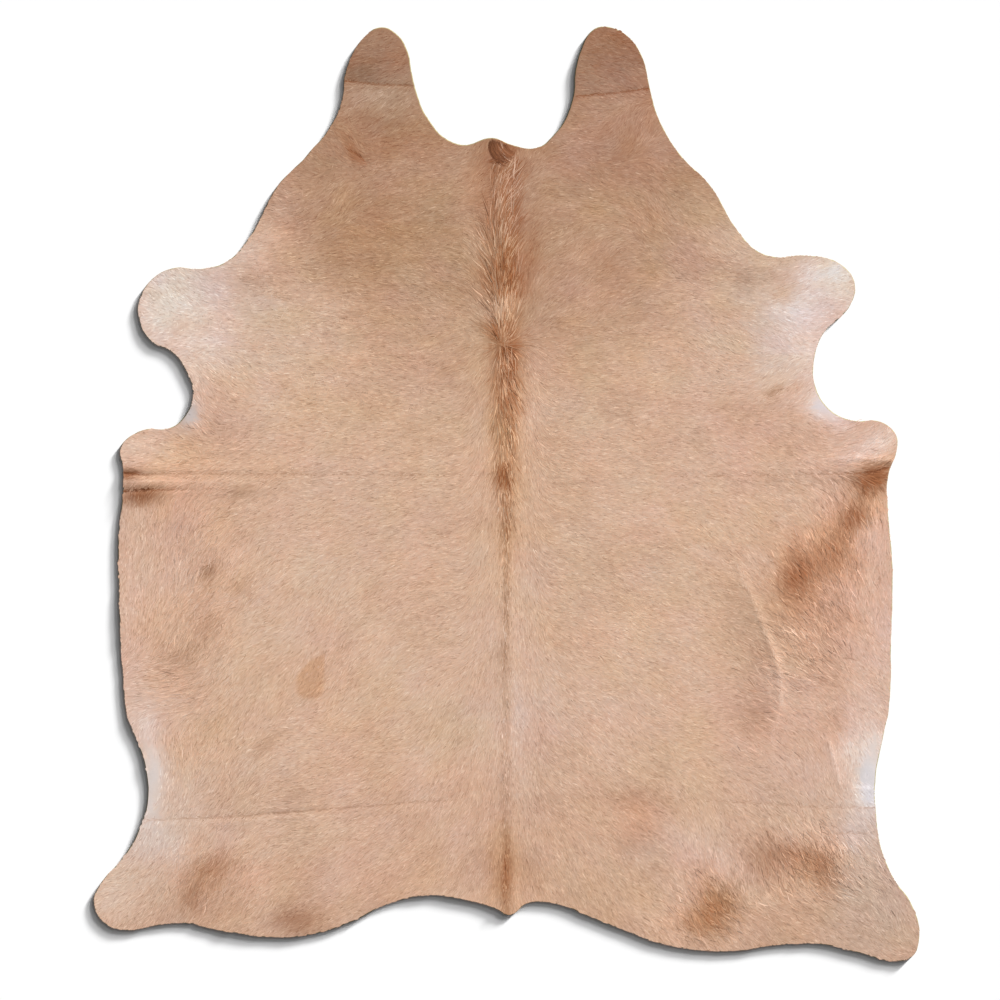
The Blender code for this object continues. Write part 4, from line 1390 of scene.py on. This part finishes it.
mane_along, mane_half, mane_length, mane_count = (np.array(column) for column in zip(*MANE))


def scattered(rows, counts, draw):
    """Places along the hide, drawn so that each stretch gets its number of hairs."""
    fine_rows = np.linspace(rows[0], rows[-1], FINE_ROWS)
    share = np.cumsum(np.interp(fine_rows, rows, counts))
    total = int(share[-1] * (fine_rows[1] - fine_rows[0]))
    return np.interp(draw.uniform(0, share[-1], total), share, fine_rows)


def grow_mane(seed):
    """The locks of the mane, in a strip along the backbone."""
    draw = np.random.default_rng(seed)
    y = scattered(mane_along, mane_count, draw)
    half = np.interp(y, mane_along, mane_half)
    aside = np.clip(draw.normal(0, MANE_ASIDE, y.size), -MANE_REACH, MANE_REACH)
    x = aside * half - np.interp(y, SHIFT_ALONG, SHIFT_LEFT)
    pinched = np.interp(y, PINCH_ALONG, PINCH)
    heading = look_up(comb, x * pinched, y) + draw.normal(0, LOCK_TURN, y.size)
    length = np.interp(y, mane_along, mane_length) * draw.uniform(*MANE_LENGTHS, y.size)
    pale = draw.uniform(0, 1, y.size) < np.interp(aside, PALE_ASIDE, PALE_SHARE)
    tint = look_up(tint_map, x, y) + np.where(pale, PALE_TINT, BROWN_TINT)
    tint += draw.normal(0, LOCK_TINT, y.size)
    shade = np.where(pale, PALE_BRIGHT, BROWN_BRIGHT) + draw.normal(0, LOCK_SHADE, y.size)
    width = LOCK_WIDTH * draw.uniform(*MANE_WIDTHS, y.size)
    lift = MANE_HEIGHT * draw.uniform(*MANE_LIFTS, y.size)
    lift *= np.clip(half / FULL_HALF, LEAST_SHARE, 1)
    bend = draw.normal(MANE_BEND, MANE_BEND_SPREAD, y.size)
    roll = draw.normal(0, LOCK_ROLL, y.size)
    return grow("mane", x, y, heading, length, width, lift, tint, shade, bend, roll, LOCK, draw)


mane = grow_mane(200)
print("mane", len(mane.data.polygons), "triangles")

# %% [markdown]
# On the nape a dark curl sweeps from the left over to the right, and a few bleached hairs, the
# longest on the hide, run up beside it. Both are too few to come from a map, so each is a small
# bundle with its own place, heading and bend.

# %% Add the curl and the long hairs of the nape
BUNDLES = (
    # name, hairs, across, along, spread across, spread along, heading, bend, length, tint, shade
    ("curl", 100, -0.034, 0.826, 0.007, 0.006, -46, 84, 0.064, 0.90, 0.86),
    ("curl, middle", 100, -0.022, 0.825, 0.006, 0.004, -44, 80, 0.052, 0.88, 0.89),
    ("curl, inner", 70, -0.008, 0.820, 0.006, 0.003, -40, 70, 0.036, 0.82, 0.94),
    ("curl, pale", 18, -0.020, 0.823, 0.008, 0.004, -44, 84, 0.056, 0.56, 1.02),
    ("curl, shadow", 26, -0.024, 0.782, 0.008, 0.003, 200, 40, 0.018, 0.84, 0.92),
    ("streamer", 2, 0.014, 0.640, 0.0020, 0.012, 88, 6, 0.075, 0.42, 1.02),
    ("streamer, high", 3, 0.013, 0.725, 0.0014, 0.010, 84, 10, 0.080, 0.40, 1.02),
    ("streamers under the band", 14, -0.010, 0.420, 0.016, 0.014, 86, 0, 0.050, 0.38, 1.03),
    ("streamers of the withers", 20, -0.006, 0.300, 0.020, 0.060, 272, 12, 0.055, 0.48, 1.03),
)
BUNDLE_HEIGHT = 0.0040
BUNDLE_LENGTHS, BUNDLE_WIDTHS, BUNDLE_LIFTS = (0.7, 1.15), (0.5, 0.95), (0.7, 1.05)
BUNDLE_SCATTER = 0.6
BUNDLE_TURN, BUNDLE_BEND, BUNDLE_ROLL = 5, 12, math.radians(8)
BUNDLE_TINT, BUNDLE_SHADE = 0.05, 0.05


def grow_bundles(name, rows, seed):
    """Bundles of listed locks as one mesh."""
    draw = np.random.default_rng(seed)
    parts = []
    for _, hairs, *numbers in rows:
        parts.append(np.repeat(np.array(numbers)[None], hairs, 0))
    across, along, spread_x, spread_y, turn, bend, length, tint, shade = np.concatenate(parts).T
    hairs = len(across)
    x = across + draw.normal(0, BUNDLE_SCATTER, hairs) * spread_x
    y = along + draw.normal(0, BUNDLE_SCATTER, hairs) * spread_y
    heading = np.radians(turn + draw.normal(0, BUNDLE_TURN, hairs))
    bend = np.radians(bend + draw.normal(0, BUNDLE_BEND, hairs))
    length = length * draw.uniform(*BUNDLE_LENGTHS, hairs)
    tint = tint + draw.normal(0, BUNDLE_TINT, hairs)
    shade = shade + draw.normal(0, BUNDLE_SHADE, hairs)
    width = LOCK_WIDTH * draw.uniform(*BUNDLE_WIDTHS, hairs)
    lift = BUNDLE_HEIGHT * draw.uniform(*BUNDLE_LIFTS, hairs)
    roll = draw.normal(0, BUNDLE_ROLL, hairs)
    return grow(name, x, y, heading, length, width, lift, tint, shade, bend, roll, LONG_LOCK, draw)


nape = grow_bundles("nape_hair", BUNDLES, 210)
print("nape", len(nape.data.polygons), "triangles")

# %% [markdown]
# The belly, the hocks and the buttocks carry a looser, longer fur. Combing leaves it in wisps
# that stand proud of the coat and catch the light. Making the short coat longer there is not
# enough, so loose locks go over it, scattered in an oval and thickest in its middle.

# %% Grow the loose fur
FUR = (
    # name, across, along, half across, half along, turned, locks, length
    ("belly_fur_left", -0.720, -0.260, 0.080, 0.300, 0, 3000, 0.034),
    ("belly_fur_right", 0.745, -0.190, 0.085, 0.270, -22, 3000, 0.034),
    ("hock_fur_left", -0.690, -0.900, 0.110, 0.070, -8, 1200, 0.032),
    ("hock_fur_right", 0.720, -0.860, 0.110, 0.080, -10, 1400, 0.032),
    ("buttock_fur_right", 0.470, -0.965, 0.100, 0.080, 30, 1000, 0.032),
)
FUR_HEIGHT = 0.0030
FUR_LENGTHS, FUR_WIDTHS, FUR_LIFTS = (0.55, 1.2), (0.5, 1.0), (0.5, 1.2)
FUR_SCATTER, FUR_FROM_EDGE = 0.6, 0.004
FUR_TURN, FUR_BEND, FUR_BRIGHT = math.radians(14), math.radians(30), 1.01


def grow_fur(name, across, along, half_across, half_along, turned, locks, longest, seed):
    """Loose locks scattered in an oval, thickest in its middle."""
    draw = np.random.default_rng(seed)
    u, v = draw.normal(0, FUR_SCATTER, (2, locks))
    turn = math.radians(turned)
    x = across + u * half_across * math.cos(turn) - v * half_along * math.sin(turn)
    y = along + u * half_across * math.sin(turn) + v * half_along * math.cos(turn)
    inside = look_up(edge_away, x, y) > FUR_FROM_EDGE
    x, y = x[inside], y[inside]
    heading = look_up(comb, x, y) + draw.normal(0, FUR_TURN, x.size)
    length = longest * draw.uniform(*FUR_LENGTHS, x.size)
    tint = look_up(tint_map, x, y) + draw.normal(0, LOCK_TINT, x.size)
    shade = FUR_BRIGHT + draw.normal(0, LOCK_SHADE, x.size)
    width = LOCK_WIDTH * draw.uniform(*FUR_WIDTHS, x.size)
    lift = FUR_HEIGHT * draw.uniform(*FUR_LIFTS, x.size)
    bend = draw.normal(0, FUR_BEND, x.size)
    roll = draw.normal(0, LOCK_ROLL, x.size)
    return grow(name, x, y, heading, length, width, lift, tint, shade, bend, roll, LOCK, draw)


fur = [grow_fur(*row, 220 + k) for k, row in enumerate(FUR)]
print("loose fur", sum(len(piece.data.polygons) for piece in fur), "triangles")

# %% [markdown]
# A crease parts the coat. Down in a trough the hair shows its shaded roots as a thin dark line,
# and on the shoulder beside it the hair stands up and catches the light. Short hairs laid along
# each line, dark in a trough and pale on a ridge, draw it as sharply as it really shows. A coat
# of long blades alone would blur it.

# %% Lay the hair along the creases
CREASE_HAIR = 0.013
HAIRS_A_METRE = 1300
LINE_LENGTHS, LINE_WIDTHS, LINE_LIFTS = (0.6, 1.3), (0.7, 1.1), (1.1, 1.25)
DEEP_FROM, DEEP_TINT, DEEP_SHADE = 0.0012, 60.0, 30.0
FULL_RISE = 0.0018
LINE_FROM_EDGE = 0.001
LINE_NOISE, LINE_TURN = 0.03, math.radians(10)
# half width, tint, brightness
DARK_LINE = (0.0011, 0.10, 0.90)
PALE_LINE = (0.0040, -0.06, 1.05)


def grow_crease_hair(seed):
    """Short hairs that follow every crease, more of them where it is deep."""
    draw = np.random.default_rng(seed)
    parts = []
    for _, _, points in CREASES:
        for (xa, ya, va), (xb, yb, vb) in zip(points, points[1:]):
            run = math.hypot(xb - xa, yb - ya)
            hairs = int(run * HAIRS_A_METRE)
            t = draw.uniform(0, 1, hairs)
            rise = va + t * (vb - va)
            kept = draw.uniform(0, FULL_RISE, hairs) < np.abs(rise)
            across, darker, light = (np.where(rise < 0, dark, pale)
                                     for dark, pale in zip(DARK_LINE, PALE_LINE))
            deep = np.maximum(-rise - DEEP_FROM, 0)
            darker, light = darker + DEEP_TINT * deep, light - DEEP_SHADE * deep
            aside = draw.normal(0, 1, hairs) * across
            x = xa + t * (xb - xa) - aside * (yb - ya) / run
            y = ya + t * (yb - ya) + aside * (xb - xa) / run
            way = np.full(hairs, math.atan2(yb - ya, xb - xa))
            way += np.where(np.cos(look_up(comb, x, y) - way) < 0, math.pi, 0)
            parts.append(np.stack([x, y, way, darker, light])[:, kept])
    x, y, way, darker, light = np.concatenate(parts, 1)
    inside = look_up(edge_away, x, y) > LINE_FROM_EDGE
    x, y, way, darker, light = (row[inside] for row in (x, y, way, darker, light))
    heading = way + draw.normal(0, LINE_TURN, x.size)
    length = CREASE_HAIR * draw.uniform(*LINE_LENGTHS, x.size)
    tint = look_up(tint_map, x, y) + darker + draw.normal(0, LINE_NOISE, x.size)
    shade = light + draw.normal(0, LINE_NOISE, x.size)
    width = FINE_WIDTH * draw.uniform(*LINE_WIDTHS, x.size)
    lift = FINE_HEIGHT * draw.uniform(*LINE_LIFTS, x.size) * look_up(lift_map, x, y)
    bend = draw.normal(0, LINE_TURN, x.size)
    roll = draw.normal(0, FINE_ROLL, x.size)
    return grow("crease_hair", x, y, heading, length, width, lift, tint, shade, bend, roll,
                BLADE, draw)


crease_hair = grow_crease_hair(240)
print("crease hair", len(crease_hair.data.polygons), "triangles")
hair = [*coat, mane, nape, *fur, crease_hair]

# %% [markdown]
# All the hair wears one finish, the coat's colours again. Its colour and brightness are already
# on its points, so what is left is a last small change along each hair, from a fine noise, and
# the gloss, which is low and broad, as on a brushed coat. A true hair shader would need single
# round hairs, and these blades are flat.

# %% Finish the hair
hair_finish = hairy_finish("champagne_hair", roughness=0.62, gloss=0.18, grain=700,
                           least=0.95, most=1.05)
for piece in hair:
    piece.data.materials.append(hair_finish)
print("hair finish", hair_finish.name)

# %% [markdown]
# The floor is plain and pale, a tenth of a millimetre under the hide, so that the two never lie in
# one plane. The surround is a soft white. Two lamps light the hide: a low key from the upper
# right, which shows the folds, and a weak broad fill from above. Three more light only the floor,
# from the same side but at three heights, so that their shadows lie one over the other: dark at
# the rim and fading outward, which shows how thick the hide is. A low lamp is stopped only by the
# skin, because these blades are thicker than real hairs and would shade each other too darkly.

# %% Light the studio
FLOOR_SIZE, FLOOR_BELOW = 30.0, 0.0001
FLOOR_COLOUR = (0.98, 0.98, 0.98, 1.0)
SURROUND = 0.10
LAMPS = (
    # name, strength, height, softness
    ("key", 10.0, 13, 9),
    ("fill", 0.62, 90, 150),
    ("floor_key", 1.41, 12, 10),
    ("low_floor_key", 12.7, 5.3, 4.4),
    ("lowest_floor_key", 28.1, 3.0, 1.7),
)
KEY_FROM = 48
LOW_LAMP = 45
PAPER_ROUGHNESS = 0.9

bpy.ops.mesh.primitive_plane_add(size=FLOOR_SIZE, location=(0, 0, -FLOOR_BELOW))
floor = bpy.context.object
floor.name = "floor"
floor_paper, _, floor_shader = new_material("floor_paper", PAPER_ROUGHNESS)
floor_shader.inputs["Base Color"].default_value = FLOOR_COLOUR
floor_shader.inputs["Specular IOR Level"].default_value = 0.0
floor.data.materials.append(floor_paper)

world = bpy.data.worlds.new("studio")
bpy.context.scene.world = world
world.use_nodes = True
backdrop = world.node_tree.nodes["Background"]
backdrop.inputs["Color"].default_value = (1.0, 1.0, 1.0, 1.0)
backdrop.inputs["Strength"].default_value = SURROUND


def add_lamp(name, strength, height, softness, lit):
    """A far lamp from the upper right that lights some pieces; if low, only the skin stops it."""
    lamp = bpy.data.objects.new(name, bpy.data.lights.new(name, "SUN"))
    bpy.context.scene.collection.objects.link(lamp)
    lamp.data.energy = strength
    lamp.data.angle = math.radians(softness)
    lamp.rotation_euler = (0.0, math.radians(90 - height), math.radians(KEY_FROM))
    lights, casts = (bpy.data.collections.new(name + use) for use in ("_lights", "_casts"))
    for piece in lit:
        lights.objects.link(piece)
    lamp.light_linking.receiver_collection = lights
    if height < LOW_LAMP:
        casts.objects.link(skin)
        lamp.light_linking.blocker_collection = casts


hide_pieces = [skin, *hair]
for lamp_row, lit in zip(LAMPS, (hide_pieces, hide_pieces, [floor], [floor], [floor])):
    add_lamp(*lamp_row, lit)
print("lamps", ", ".join(row[0] for row in LAMPS))

# %% [markdown]
# A hide is shown flat, so the camera hangs straight above it and looks down. Its lens follows
# from three numbers: how high it hangs, how many pixels the picture has, and how much of the
# hide one pixel covers. It stands a little beside the hide's middle, where the picture's is.

# %% Place the camera straight above
PICTURE = 1000
METRES_A_PIXEL = 0.00235
PICTURE_ORIGIN = (506.5, 494.0)
CAMERA_HEIGHT = 7.0
FARTHEST_SEEN = 100.0
SENSOR = 36.0

camera = bpy.data.objects.new("camera", bpy.data.cameras.new("camera"))
bpy.context.scene.collection.objects.link(camera)
camera.data.sensor_width = SENSOR
camera.data.lens = SENSOR * CAMERA_HEIGHT / (PICTURE * METRES_A_PIXEL)
camera.data.clip_end = FARTHEST_SEEN
camera.location = ((PICTURE / 2 - PICTURE_ORIGIN[0]) * METRES_A_PIXEL,
                   (PICTURE_ORIGIN[1] - PICTURE / 2) * METRES_A_PIXEL, CAMERA_HEIGHT)
bpy.context.scene.camera = camera
bpy.context.scene.view_settings.view_transform = "Standard"
print("camera", round(camera.data.lens, 1), "mm lens at", tuple(round(c, 3) for c in camera.location))

# %% [markdown]
# Last, all of the skin and the coat ride on the one body, and the imported solid is hidden, so
# that the skin and the coat show the hide in its place. The coat stands no more than a millimetre
# or so outside the solid.

# %% Tie the pieces to the frame
for piece in hide_pieces:
    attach(piece, "root")
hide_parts("hide")
print("triangles in all", sum(len(piece.data.polygons) for piece in hide_pieces))
